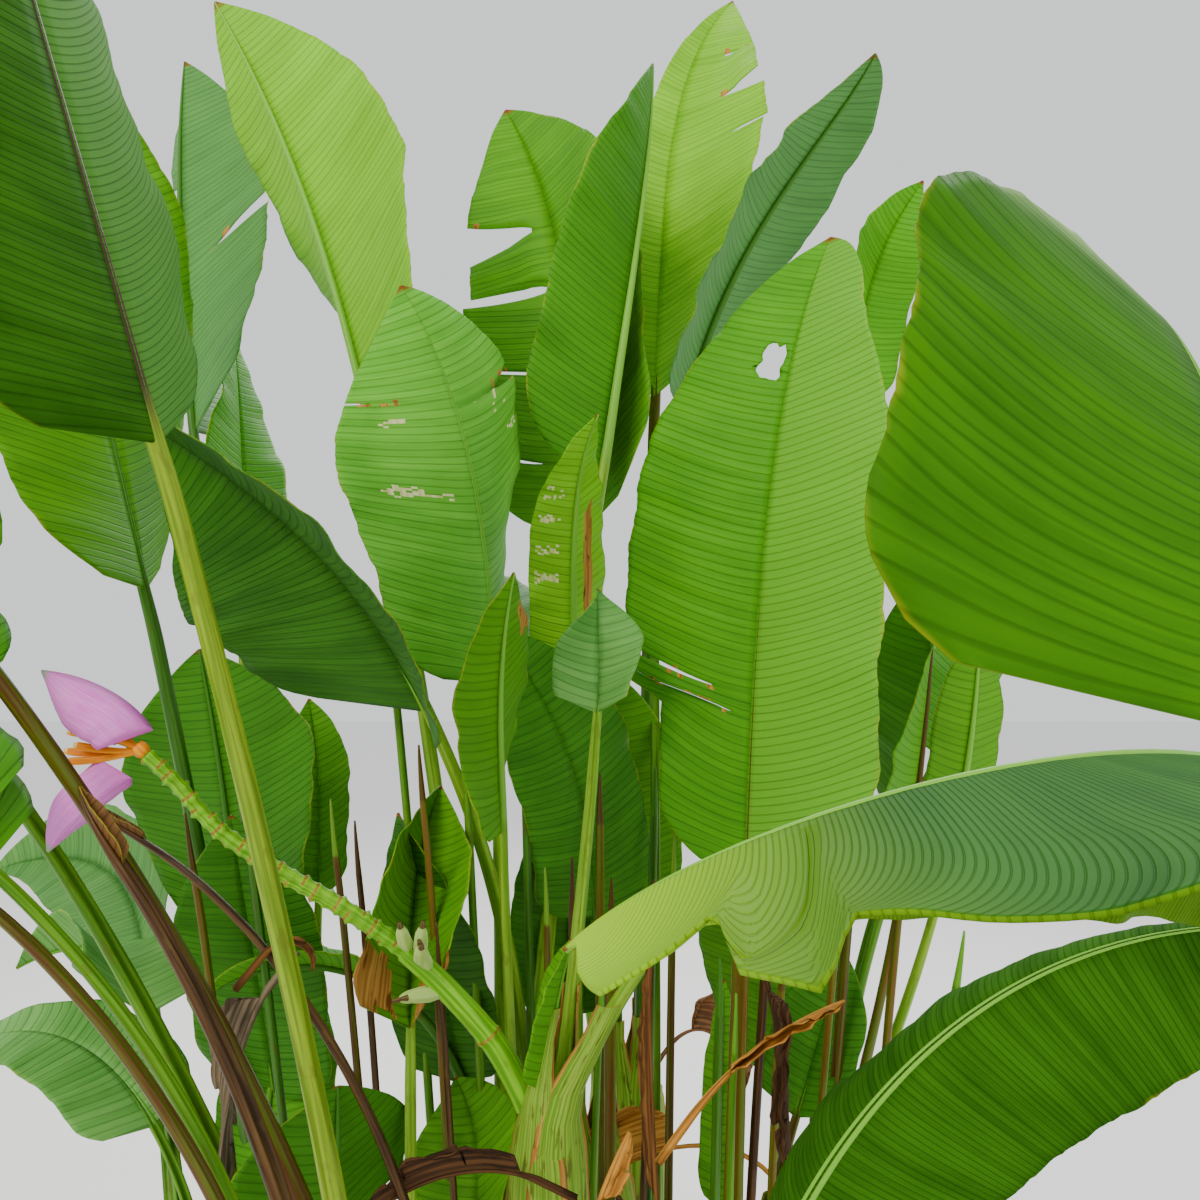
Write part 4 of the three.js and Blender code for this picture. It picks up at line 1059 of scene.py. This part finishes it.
def blade_material(look, lower):
    given = BLADE_LOOKS[look]
    dark = shade_of(given["under"], UNDER_SHADES[0]) if lower else linear(given["dark"])
    light = shade_of(given["under"], UNDER_SHADES[1]) if lower else linear(given["light"])

    def paint(net, marks):
        share = net.plus(net.times(marks["Ridges"], 0.6), net.times(marks["Patches"], 0.4))
        green = net.mix(share, dark, light)
        # The right half takes a lighter green: painted sheen where that half catches the light
        if "right" in given:
            along, _ = net.place("veins")
            on_right = net.math("GREATER_THAN", along, RIGHT_HALF_OFFSET - 0.1)
            green = net.mix(net.times(on_right, RIGHT_SHEEN_SHARE), green, linear(given["right"]))
        # A tip green over the far part of the blade; for sunlit it is a painted sheen
        if "tip" in given:
            tip, start, end = given["tip"]
            along, _ = net.place("share")
            green = net.mix(net.ramp(along, start, end), green, linear(tip))
        # Painted shade in the grooves along the side veins
        lines = net.times(marks["Lines"], given.get("lines", GROOVE_SHADE_DEPTH))
        green = net.mix(lines, green, shade_of(given["dark"], LINE_SHADE))
        yellow = net.mix(marks["Yellow"], green, YELLOWED)
        return net.mix(marks["Brown"], yellow, BROWNED)

    seed = float(list(BLADE_LOOKS).index(look)) + 0.37
    name = f"blade_{look}_{'lower' if lower else 'upper'}"
    spacing = given["spacing"] * MM if "spacing" in given else VEIN_SPACING
    wear = dict(Brown=given["brown"], Spots=given["spots"], Seed=seed, Spacing=spacing)
    rough = given.get("rough", BLADE_ROUGH)
    return new_material(name, BLADE_MARKS, wear, paint, rough, 0.6, sheen=given.get("sheen", SHEEN_LEVEL))


def stalk_material(look):
    given = STALK_LOOKS[look]

    def paint(net, marks):
        share, _ = net.place("share")
        stalk = net.mix(marks["Streaks"], linear(given["base"]), linear(given["streak"]))
        stalk = net.mix(net.times(marks["Flecks"], 0.35), stalk, linear("#5a4a1c"))
        return net.mix(net.ramp(share, 0.0, 0.08), stalk, linear(given["rib"]))

    return new_material(f"stalk_{look}", STALK_MARKS, dict(Seed=1.3), paint, 0.42, 0.3, coat=0.1)


def sheath_material():
    """Green where a sheath is young, near the top of its stem, and brown further down."""
    def paint(net, marks):
        high, _ = net.place("share")
        green = net.mix(marks["Streaks"], linear("#5c8c14"), linear("#8cac38"))
        fresh = net.mix(net.times(marks["Flecks"], 0.7), green, linear("#50381a"))
        old = net.mix(marks["Streaks"], linear("#4c3418"), linear("#8a6636"))
        worn = net.plus(net.times(high, -0.9), net.times(marks["Rings"], 0.55))
        return net.mix(net.ramp(worn, -0.5, 0.3), fresh, old)

    return new_material("stem_sheath", STALK_MARKS, dict(Seed=5.1), paint, 0.6, 0.6, 0.002)


def streaked(name):
    look = STREAKED_LOOKS[name]
    first, second, fleck = (linear(colour) for colour in look["colours"])

    def paint(net, marks):
        flecks = net.times(marks["Flecks"], look.get("flecks", FLECK_DEPTH))
        return net.mix(flecks, net.mix(marks["Streaks"], first, second), fleck)

    seed = dict(Seed=look["seed"])
    coat = look.get("coat", 0.0)
    return new_material(name, STALK_MARKS, seed, paint, look["rough"], look["bump"], coat=coat)


DRY = streaked("dried_leaf")
SHEATH = sheath_material()
SCRAPED = streaked("scraped")


def leaf_slot(look):
    for slot, looks in LEAF_SLOTS.items():
        if look in looks:
            return slot
    return "leaf_fresh"


def make_leaf(leaf, order, replaced):
    name = leaf["name"]
    rng = seeded(name)
    line = rib_line(leaf, foot_of(leaf))
    blade = Parts()
    for side in (-1, 1):
        blade_half(blade, leaf, line, side, rng)
    look = leaf["look"]
    materials = [blade_material(look, False), blade_material(look, True), DRY, SCRAPED]
    settle(blade.piece(f"{name}_blade", materials), leaf_slot(look), *replaced[:1])
    stalk = Parts()
    leaf_stalk(stalk, leaf, line, rng)
    if leaf["place"] < PLACES_ROUND_TOP:
        sheath(stalk, leaf, line, order, rng)
    bark = stalk_material(leaf["bark"])
    slot = "dead" if look == "dry" else "sheath"
    settle(stalk.piece(f"{name}_petiole", [bark, SHEATH, DRY]), slot, *replaced)


def make_leaves():
    orders = {}
    for leaf in LEAVES + SMALL_LEAVES:
        order = orders.get(leaf["stem"], 0)
        orders[leaf["stem"]] = order + 1
        nodes = [leaf["name"]] if leaf in LEAVES else []
        if leaf.get("parted"):
            nodes.append(f"{leaf['name']}_stalk")
        make_leaf(leaf, order, nodes)


def make_stems():
    for name in STEMS:
        stem = Parts()
        stem_body(stem, name, seeded(f"stem_{name}"))
        settle(stem.piece(f"stem_{name}_sheaths", [SHEATH]), "sheath", f"stem_{name}")


# Flower stalk, fruits, flowers and bracts

STALK_LINE = np.array([
    (-18, 0, 1000), (-27, -2, 1022), (-57, -5, 1075), (-133, -15, 1158), (-193, -30, 1206),
    (-255, -45, 1248), (-303, -60, 1287), (-341, -75, 1336), (-363, -80, 1359),
], float)
PEDUNCLE_RADIUS = 13
RACHIS_RADIUS = 8
SMOOTH_SHARE = 0.4
PEDUNCLE_TAPER = 0.15
THIN_FROM = 0.72
THIN_TO = 0.9
FLOWER_STALK_SUNK = 20
FLOWER_STALK_RINGS = 190
FLOWER_STALK_SIDES = 20
SCAR_COUNT = 22
SCAR_RISE = 2.6
SCAR_TURN = 2.4
SCAR_AT = 0.75
SCAR_WIDTH = 0.16
SCAR_BROWN = (0.78, 0.98)
SCAR_ROUND = -0.2
NODE_SHARE = 0.17
NODE_RISE = 1.6
NODE_WIDTH = 0.006
NODE_BROWN = 0.004

# Fruits: where along the flower stalk each sits, the way it points, and its length
FRUITS = [
    (0.36, (0.1, -0.35, 0.94), 46), (0.38, (-0.2, -0.5, 0.84), 44), (0.33, (-0.15, -0.6, 0.79), 50),
    (0.35, (0.05, -0.75, 0.66), 46), (0.29, (-0.93, -0.3, -0.12), 50), (0.28, (-0.86, -0.5, 0.05), 48),
]
FRUIT_RINGS = 16
FRUIT_SIDES = 15
FRUIT_END = 1.06
FRUIT_GIRTHS = [(0, 3.2), (0.2, 4.2), (0.45, 7), (0.8, 5.95), (0.93, 2.8), (FRUIT_END, 2)]
FRUIT_TIP_BANDS = 3
FLOWER_COUNT = 6
FLOWER_LENGTH = 68
FLOWER_FAN = 34
FLOWER_HEADING = 171
FLOWER_RINGS = 18
FLOWER_SIDES = 12
FLOWER_GIRTHS = [(0, 2.4), (0.25, 2.6), (0.6, 3.2), (0.85, 3.7), (0.97, 3.0), (1, 1.6)]
FLOWER_MOUTH_BANDS = 2
FLOWER_BASE_SIDES = 16
FLOWER_BASE = [(0, 6), (4, 7.4), (8, 7.6), (12, 6)]
FLOWER_SET = 5
BRACT_LINES = 14
BRACT_BUMP = 0.12
BRACTS = [
    leaf_row("upper_bract", 180, 8, 84, 0.5, 0, 9, 119, 104, 180, 0, (30, 30), (75, 75), offset=(9, 0, 14),
             thick=3.5),
    leaf_row("lower_bract", 182, 118, 140, 0.7, 0, 6, 100, 62, 48, 0, (25, 25), (40, 40),
             offset=(-7, -4, -18), thick=3.5),
]


def curve_through(knots, count=1200):
    """Even steps along a smooth curve through the knots, spaced by the root of their distances."""
    ends = np.vstack([2 * knots[0] - knots[1], knots, 2 * knots[-1] - knots[-2]])
    points = []
    for k in range(len(knots) - 1):
        a, b, c, d = ends[k:k + 4]
        first, middle, last = (np.linalg.norm(q - p) ** 0.5 for p, q in ((a, b), (b, c), (c, d)))
        start = ((b - a) / first - (c - a) / (first + middle) + (c - b) / middle) * middle
        end = ((c - b) / middle - (d - b) / (middle + last) + (d - c) / last) * middle
        t = np.linspace(0, 1, count // len(knots), endpoint=False)[:, None]
        square = 3 * (c - b) - 2 * start - end
        cube = 2 * (b - c) + start + end
        points.append(b + start * t + square * t**2 + cube * t**3)
    points = np.vstack(points + [knots[-1:]])
    far = np.concatenate([[0], np.cumsum(np.linalg.norm(np.diff(points, axis=0), axis=1))])
    at = line_through(far, points)
    return lambda share: at(np.asarray(share) * far[-1])


FLOWER_LINE = curve_through(STALK_LINE)
STALK_END = STALK_LINE[-1]
STALK_END_ALONG = FLOWER_LINE(1.0) - FLOWER_LINE(0.995)
STALK_END_ALONG = STALK_END_ALONG / np.linalg.norm(STALK_END_ALONG)


def tube(parts, centres, radii, sides, slots=0, shape=None):
    """A closed tube through centres. shape may change the radius by row and side."""
    centres, radii = np.asarray(centres, float), np.asarray(radii, float)
    along = np.gradient(centres, axis=0)
    along = along / np.linalg.norm(along, axis=1)[:, None]
    guide = np.array([0.13, 1.0, 0.07]) if abs(along[:, 1]).mean() < 0.8 else np.array([1.0, 0.1, 0.0])
    across = np.cross(guide, along)
    across = across / np.linalg.norm(across, axis=1)[:, None]
    up = np.cross(along, across)
    angle = np.linspace(0, 2 * math.pi, sides, endpoint=False)
    size = np.broadcast_to(radii[:, None], (len(radii), sides)).copy()
    if shape is not None:
        size = size + shape(angle)
    round_about = across[:, None] * np.cos(angle)[None, :, None] + up[:, None] * np.sin(angle)[None, :, None]
    point = centres[:, None] + round_about * size[..., None]
    ends = [centres[k] + (point[k] - centres[k]) * CLOSED_END for k in (0, -1)]
    point = np.array([ends[0], *point, ends[1]])
    quads = grid_quads(len(point), sides, closed=True)
    far = np.concatenate([[0], np.cumsum(np.linalg.norm(np.diff(centres, axis=0), axis=1))])
    far = np.concatenate([far[:1], far, far[-1:]])
    veins = pairs(far[:, None] * MM, angle[None] * radii.mean() * MM)
    places = pairs((far / far[-1])[:, None], angle[None] / 6.3)
    parts.add(point, quads, slots, veins, places)


# The material slots of the flower stalk's and the fruits' faces
GREEN_FACE, SCAR_FACE, FRUIT_FACE, FRUIT_TIP_FACE = range(4)


def last_bands(rings, sides, count, slot, body_slot):
    """Slots of a tube's faces, with another slot for its last bands."""
    return np.where(np.repeat(np.arange(rings + 1) > rings - count, sides), slot, body_slot)


def knobbly_stalk(parts):
    """The flower stalk: smooth at its foot, with one node, then knobbly with the scars of old bracts."""
    shares = np.linspace(0, 1, FLOWER_STALK_RINGS)
    centres = FLOWER_LINE(shares)
    centres[0, 2] -= FLOWER_STALK_SUNK
    smooth = PEDUNCLE_RADIUS * (1 - PEDUNCLE_TAPER * np.clip(shares / SMOOTH_SHARE, 0, 1))
    knobbly = np.clip((shares - SMOOTH_SHARE) / (1 - SMOOTH_SHARE), 0, 1)
    thin = PEDUNCLE_RADIUS * THIN_FROM + (RACHIS_RADIUS * THIN_TO - PEDUNCLE_RADIUS * THIN_FROM) * knobbly
    radii = np.where(shares < SMOOTH_SHARE, smooth, thin)
    radii = radii + NODE_RISE * np.exp(-(((shares - NODE_SHARE) / NODE_WIDTH) ** 2))
    count = knobbly * (SCAR_COUNT + 1)
    phase = count % 1
    turned = np.floor(count) * SCAR_TURN
    knob = np.where(knobbly > 0, np.exp(-(((phase - SCAR_AT) / SCAR_WIDTH) ** 2)), 0)

    def shape(angle):
        toward = 0.5 + 0.5 * np.cos(angle[None] - turned[:, None])
        return SCAR_RISE * knob[:, None] * (0.45 + 0.9 * toward) - 0.6 * (knobbly > 0)[:, None]

    slots = np.zeros((len(shares) + 1, FLOWER_STALK_SIDES), int)
    angle = np.linspace(0, 2 * math.pi, FLOWER_STALK_SIDES, endpoint=False)
    brown = (phase > SCAR_BROWN[0]) & (phase < SCAR_BROWN[1]) & (knobbly > 0)
    facing = np.cos(angle - turned[brown][:, None]) > SCAR_ROUND
    slots[1:][brown] = np.where(facing, SCAR_FACE, GREEN_FACE)
    slots[1:][np.abs(shares - NODE_SHARE) < NODE_BROWN] = SCAR_FACE
    tube(parts, centres, radii, FLOWER_STALK_SIDES, slots.ravel(), shape)


def young_fruit(parts, share, toward, length):
    start = FLOWER_LINE(share)
    way = np.array(toward) / np.linalg.norm(toward)
    bow = np.cross(way, [0, 0, 1.0])
    place = np.linspace(0, FRUIT_END, FRUIT_RINGS)
    middles = start + way * (place * length)[:, None] + bow * (2.5 * np.sin(place * math.pi))[:, None]
    girth = np.interp(place, *zip(*FRUIT_GIRTHS))

    def ribs(angle):
        return 0.55 * np.cos(angle * 5)[None] * np.sin(np.clip(place, 0, 1) * math.pi)[:, None]

    slots = last_bands(FRUIT_RINGS, FRUIT_SIDES, FRUIT_TIP_BANDS, FRUIT_TIP_FACE, FRUIT_FACE)
    tube(parts, middles, girth, FRUIT_SIDES, slots, ribs)


def make_flower_stalk():
    stalk = Parts()
    knobbly_stalk(stalk)
    for share, toward, length in FRUITS:
        young_fruit(stalk, share, toward, length)
    looks = ("flower_stalk_green", "flower_stalk_scar", "fruit_green", "fruit_tip")
    materials = [streaked(look) for look in looks]
    settle(stalk.piece("flower_stalk_and_fruits", materials), "flower_stalk", "flower_stalk")


def bloom(parts, flower, start):
    """One flower of the fan: a tube with three lobes that ends in a paler mouth."""
    spread = flower / (FLOWER_COUNT - 1) - 0.5
    angle = math.radians(FLOWER_HEADING - FLOWER_FAN * spread)
    way = np.array([math.cos(angle), 0.2 * (flower % 2 - 0.5), math.sin(angle)])
    length = FLOWER_LENGTH * (1 + 0.12 * math.sin(flower * 2.3))
    place = np.linspace(0, 1, FLOWER_RINGS)
    bow = np.array([0, 0, 1.0]) * (4 * np.sin(place * math.pi))[:, None] * (1 if flower > 2 else -0.6)
    middles = start + STALK_END_ALONG * FLOWER_SET + way * (place * length)[:, None] + bow
    girth = np.interp(place, *zip(*FLOWER_GIRTHS))

    def lobes(angle):
        return 0.5 * np.cos(angle * 3)[None] * place[:, None]

    slots = last_bands(FLOWER_RINGS, FLOWER_SIDES, FLOWER_MOUTH_BANDS, 1, 0)
    tube(parts, middles, girth, FLOWER_SIDES, slots, lobes)


def make_flowers():
    blooms = Parts()
    start = STALK_END + STALK_END_ALONG * 0.6
    base = [start + STALK_END_ALONG * far for far, _ in FLOWER_BASE]
    tube(blooms, base, [radius for _, radius in FLOWER_BASE], FLOWER_BASE_SIDES)
    for flower in range(FLOWER_COUNT):
        bloom(blooms, flower, start)
    materials = [streaked("flower_orange"), streaked("flower_mouth")]
    settle(blooms.piece("orange_flowers", materials), "flower", "flowers")


def bract_material(name, seed, dim, rough, coat=0.0):
    """Pink with fine lines along the bract, rosier at its foot and greyer at its tip."""
    def paint(net, _):
        share, reach = net.place("share")
        lines = net.noise(net.vector(net.times(share, 1.5), net.times(reach, BRACT_LINES)), 2.0, 3.0)
        pink = net.mix(net.ramp(lines, 0.35, 0.65), shade_of("#f27ae4", dim), shade_of("#fa9cf0", dim))
        rosy = net.mix(net.ramp(share, 0.0, 0.3, 0.55, 0.0), pink, linear("#c850b0"))
        return net.mix(net.ramp(share, 0.9, 0.98), rosy, linear("#9aa090"))

    given = dict(Brown=0.0, Spots=0.0, Seed=seed)
    return new_material(name, BLADE_MARKS, given, paint, rough, BRACT_BUMP, coat=coat)


def make_bracts():
    outer = bract_material("bract_pink", 8.0, 1.0, 0.42, coat=0.1)
    inner = bract_material("bract_inner", 8.5, 0.85, 0.5)
    for bract in BRACTS:
        rng = seeded(bract["name"])
        given = dict(bract, wavy=0.4)
        line = rib_line(given, STALK_END + np.array(bract["offset"]))
        petal = Parts()
        for side in (-1, 1):
            blade_half(petal, given, line, side, rng)
        settle(petal.piece(f"{bract['name']}_petal", [outer, inner, DRY]), "bract", bract["name"])


# Dried leaves and torn sheaths that stay on among the stems: the same sizes as the leaves have, where each
# hangs from, and the tone of its material
DRIED_LEAVES = [
    leaf_row("dried_tan_strip", 10, 38, 82, 1.2, 20, 60, 130, 34, 60, 40, (50, 50), (60, 60),
             foot=(126, -100, 1030), tone="tan"),
    leaf_row("dried_purple_sheath", 120, 9, -6, 1.5, 0, 40, 230, 30, 180, 20, (60, 60), (80, 80),
             foot=(106, -50, 900), tone="brown"),
    leaf_row("dried_stub", 15, 20, 28, 1.0, 0, 20, 62, 34, 150, 10, (70, 70), (90, 90),
             foot=(44, -110, 950), tone="tan"),
    leaf_row("dried_dark_hanging", -60, 150, 178, 0.5, 20, 10, 170, 90, 20, 70, (50, 62), (80, 90),
             foot=(212, 0, 1130), tone="dark"),
    leaf_row("dried_paper_sheath", 15, 15, 60, 1.0, 0, 30, 130, 130, 180, 20, (40, 40), (60, 60),
             foot=(276, 40, 930), tone="tan"),
    leaf_row("dried_grey_hanging", 200, 140, 178, 0.4, 0, 10, 190, 80, 30, 120, (55, 62), (80, 90),
             foot=(-250, -90, 1150), tone="grey"),
    leaf_row("dried_dark_curl", 190, 60, 128, 0.8, 20, 20, 160, 44, -20, 50, (60, 60), (80, 80),
             foot=(-6, -60, 962), tone="dark"),
    leaf_row("dried_brown_curl", 20, 40, 190, 1.0, 30, 12, 56, 14, 0, 90, (60, 60), (90, 90),
             foot=(-262, -60, 1172), tone="brown"),
    leaf_row("dried_middle", -70, 15, 168, 0.5, -30, 160, 300, 110, 0, 80, (48, 60), (80, 60),
             foot=(40, 285, 775), tone="brown"),
    leaf_row("dried_mid_left", -100, 12, 165, 0.6, 40, 200, 300, 100, 0, 60, (55, 50), (70, 90),
             foot=(-62, 163, 735), tone="brown"),
    leaf_row("dried_far_right", 200, 20, 165, 0.7, 30, 180, 340, 130, 0, 50, (50, 58), (80, 80),
             foot=(286, 384, 735), tone="tan"),
    leaf_row("dried_back", 60, 20, 170, 0.6, 30, 180, 330, 130, 0, 50, (50, 58), (80, 80),
             foot=(112, 560, 780), tone="brown"),
    leaf_row("dried_near_right", 110, 25, 168, 0.6, 30, 120, 300, 110, 0, 50, (50, 58), (80, 80),
             foot=(442, -514, 595), tone="brown"),
    leaf_row("dried_front", 30, 20, 160, 0.7, -30, 120, 260, 90, 0, 50, (50, 58), (80, 80),
             foot=(162, -166, 540), tone="grey"),
    leaf_row("dried_far_left", 190, 20, 170, 0.6, 30, 150, 330, 120, 0, 50, (50, 58), (80, 80),
             foot=(-376, 244, 575), tone="tan"),
    leaf_row("dried_outer_left", 230, 35, 172, 0.5, 30, 90, 250, 100, 0, 50, (50, 58), (80, 80),
             foot=(-184, -246, 456), tone="brown"),
]

# Thin young stalks among the stems: x and y of the foot, height, radius, heading, lean at the foot and at
# the top, bark
YOUNG_BLADE = 60
YOUNG_BEND = 1.6
YOUNG_STALKS = [
    (60, 150, 1090, 8, 80, 0, 2, "brown"), (42, 60, 1040, 6, 0, -1, 3, "green"),
    (96, 230, 1200, 7, 60, 1, 3, "deep"), (140, 20, 1040, 7, 20, 2, 1, "deep"),
    (205, 60, 1050, 6, 30, 1, 4, "brown"), (166, -20, 1020, 5, 10, 0, 2, "green"),
    (262, 180, 1150, 8, 20, 3, 6, "rust"), (330, 220, 1180, 7, 10, 2, 7, "brown"),
    (292, 90, 1060, 7, 0, 6, 9, "green"), (-42, 130, 1290, 7, 180, 2, 3, "green"),
    (-82, 90, 1250, 6, 200, 1, 5, "brown"), (-20, 180, 1350, 7, 170, 0, 2, "deep"),
    (-132, 60, 1200, 6, 190, 3, 6, "rust"), (-100, 190, 1380, 7, 180, 2, 6, "green"),
    (8, 40, 1130, 5, 30, 0, -2, "rust"), (-210, 120, 1240, 7, 190, 4, 8, "deep"),
    (-262, 30, 1190, 6, 180, 2, 9, "brown"), (120, 330, 1420, 8, 90, 1, 2, "green"),
    (20, 120, 1120, 6, 90, 0, 1, "dry"), (80, 90, 1100, 5, 40, 1, 3, "dry"),
    (122, 150, 1140, 6, 70, 0, 4, "rust"), (180, 130, 1130, 7, 20, 2, 5, "dry"),
    (230, 120, 1110, 6, 10, 3, 6, "brown"), (-60, 40, 1080, 5, 200, 2, 4, "dry"),
    (-150, 150, 1160, 6, 190, 2, 5, "dry"), (50, 200, 1200, 7, 90, -1, 2, "brown"),
]

# Small leaves that only the dressed plant has. The first two rows began as fitted sizes, like the leaves'.
SMALL_LEAVES = [
    leaf_row("leaf_upright_small", 74, 19.5, 15, 2.0, 12, 100, 245, 50, 7, 2, (21, 20), (1, 0),
             stem="mid_right", place=2, look="bright", bark="green"),
    leaf_row("leaf_low_shaded", 37, 24, 26, 2.0, 3, 205, 195, 110, 17, 9, (14, 12), (-7, -8),
             stem="mid_right", place=1, look="mid_dark", bark="rust"),
    leaf_row("leaf_low_front", -20, 8, 16, 1.5, 0, 30, 150, 60, 10, 20, (30, 30), (10, 10), stem="flower",
             place=4, thick=4, look="bright", bark="green"),
    leaf_row("leaf_middle_low", -80, 6, 20, 1.8, 20, 190, 330, 150, 170, 20, (12, 12), (-8, -8),
             stem="middle", place=3, look="mid_dark", bark="green"),
    leaf_row("leaf_back_low", -90, 10, 24, 1.8, -20, 260, 360, 170, 190, 10, (12, 12), (-8, -8),
             stem="back", place=4, look="bright", bark="green"),
    leaf_row("leaf_left_low_back", -100, 10, 30, 1.8, 15, 330, 380, 170, 170, 20, (12, 12), (-8, -8),
             stem="far_left", place=1, look="mid_dark", bark="green"),
    leaf_row("leaf_mid_left_low", -120, 8, 24, 1.8, -15, 200, 330, 140, 190, -15, (12, 12), (-8, -8),
             stem="mid_left", place=3, look="dark", bark="deep"),
    leaf_row("leaf_right_low_back", -140, 8, 26, 1.8, 10, 120, 330, 170, 180, 15, (12, 12), (-8, -8),
             stem="far_right", place=3, look="bright", bark="green"),
    leaf_row("leaf_low_left_upright", 95, 14, 40, 1.7, -10, 380, 330, 150, 160, 10, (14, 14), (-6, -6),
             stem="low_left", place=0, look="mid", bark="green"),
]


# Tears that every dried leaf has, as in the leaves' rows
DRIED_TEARS = [(-1, 0.3, 0.32, 0.7), (1, 0.45, 0.48, 0.6), (1, 0.7, 0.73, 0.7), (-1, 0.62, 0.66, 0.5)]


def make_dried_leaves():
    for leaf in DRIED_LEAVES:
        rng = seeded(leaf["name"])
        given = dict(leaf, thick=4, wavy=2.4, margin=0.12, dry_edge=0.0, tears=DRIED_TEARS)
        line = rib_line(given, np.array(leaf["foot"], float))
        whole = Parts()
        for side in (-1, 1):
            blade_half(whole, given, line, side, rng)
        leaf_stalk(whole, given, line, rng)
        settle(whole.piece(leaf["name"], [streaked(f"dried_{leaf['tone']}")] * 3), "dead")


def make_young_stalks():
    for bark in sorted({row[-1] for row in YOUNG_STALKS}):
        bundle = Parts()
        for x, y, height, radius, heading, lean, tip_lean, own_bark in YOUNG_STALKS:
            if own_bark == bark:
                given = dict(heading=heading, lean=lean, tip_lean=tip_lean, bend=YOUNG_BEND, veer=0,
                             stalk=height, blade=YOUNG_BLADE, roll=0, twist=0, thick=radius)
                line = rib_line(given, np.array([x, y, STALK_SUNK + FOOT_CLEAR], float))
                leaf_stalk(bundle, given, line, seeded(f"stalk_{x}"))
        settle(bundle.piece(f"young_stalks_{bark}", [stalk_material(bark)]), "sheath")


make_stems()
make_leaves()
make_flower_stalk()
make_flowers()
make_bracts()
make_dried_leaves()
make_young_stalks()


# Floor, lights and camera

def plain_material(name, colour, roughness):
    material = bpy.data.materials.new(name)
    material.use_nodes = True
    shader = material.node_tree.nodes["Principled BSDF"]
    shader.inputs["Base Color"].default_value = linear(colour)
    shader.inputs["Roughness"].default_value = roughness
    return material


def area_light(name, place, aim, size, power, colour="#ffffff"):
    data = bpy.data.lights.new(name, "AREA")
    data.size = size
    data.energy = power
    data.color = linear(colour)[:3]
    light = bpy.data.objects.new(name, data)
    light.location = place
    light.rotation_euler = (Vector(aim) - Vector(place)).to_track_quat("-Z", "Y").to_euler()
    bpy.context.scene.collection.objects.link(light)


FLOOR_HALF = 14000
FLOOR_HEIGHT = -1
floor = add_piece(
    "floor",
    [(x * FLOOR_HALF, y * FLOOR_HALF, FLOOR_HEIGHT) for x, y in ((-1, -1), (1, -1), (1, 1), (-1, 1))],
    [np.array([[0, 1, 2, 3]])],
    [plain_material("pale_floor", "#f0f0ee", 0.9)],
    smooth=False,
)

world = bpy.data.worlds.new("pale_room")
bpy.context.scene.world = world
world.use_nodes = True
world.node_tree.nodes["Background"].inputs["Color"].default_value = linear("#f6f8fa")
world.node_tree.nodes["Background"].inputs["Strength"].default_value = 1.1

area_light("key", (-2.6, -3.4, 4.6), (0.0, 0.0, 1.4), 2.6, 240, "#fff6e2")
area_light("fill", (3.4, -3.6, 2.6), (0.2, 0.0, 1.3), 3.0, 60)
area_light("back", (0.6, 3.6, 4.4), (0.0, 0.2, 1.5), 3.0, 180)

CAMERA_PLACE = (0.05, -1.2, 1.5)
CAMERA_LENS = 36.9
CAMERA_SENSOR = 36
camera_data = bpy.data.cameras.new("camera")
camera_data.lens = CAMERA_LENS
camera_data.sensor_width = CAMERA_SENSOR
camera_data.clip_start = 0.01
camera_data.clip_end = 100
camera = bpy.data.objects.new("camera", camera_data)
camera.location = CAMERA_PLACE
camera.rotation_euler = (math.radians(90), 0, 0)
bpy.context.scene.collection.objects.link(camera)
bpy.context.scene.camera = camera
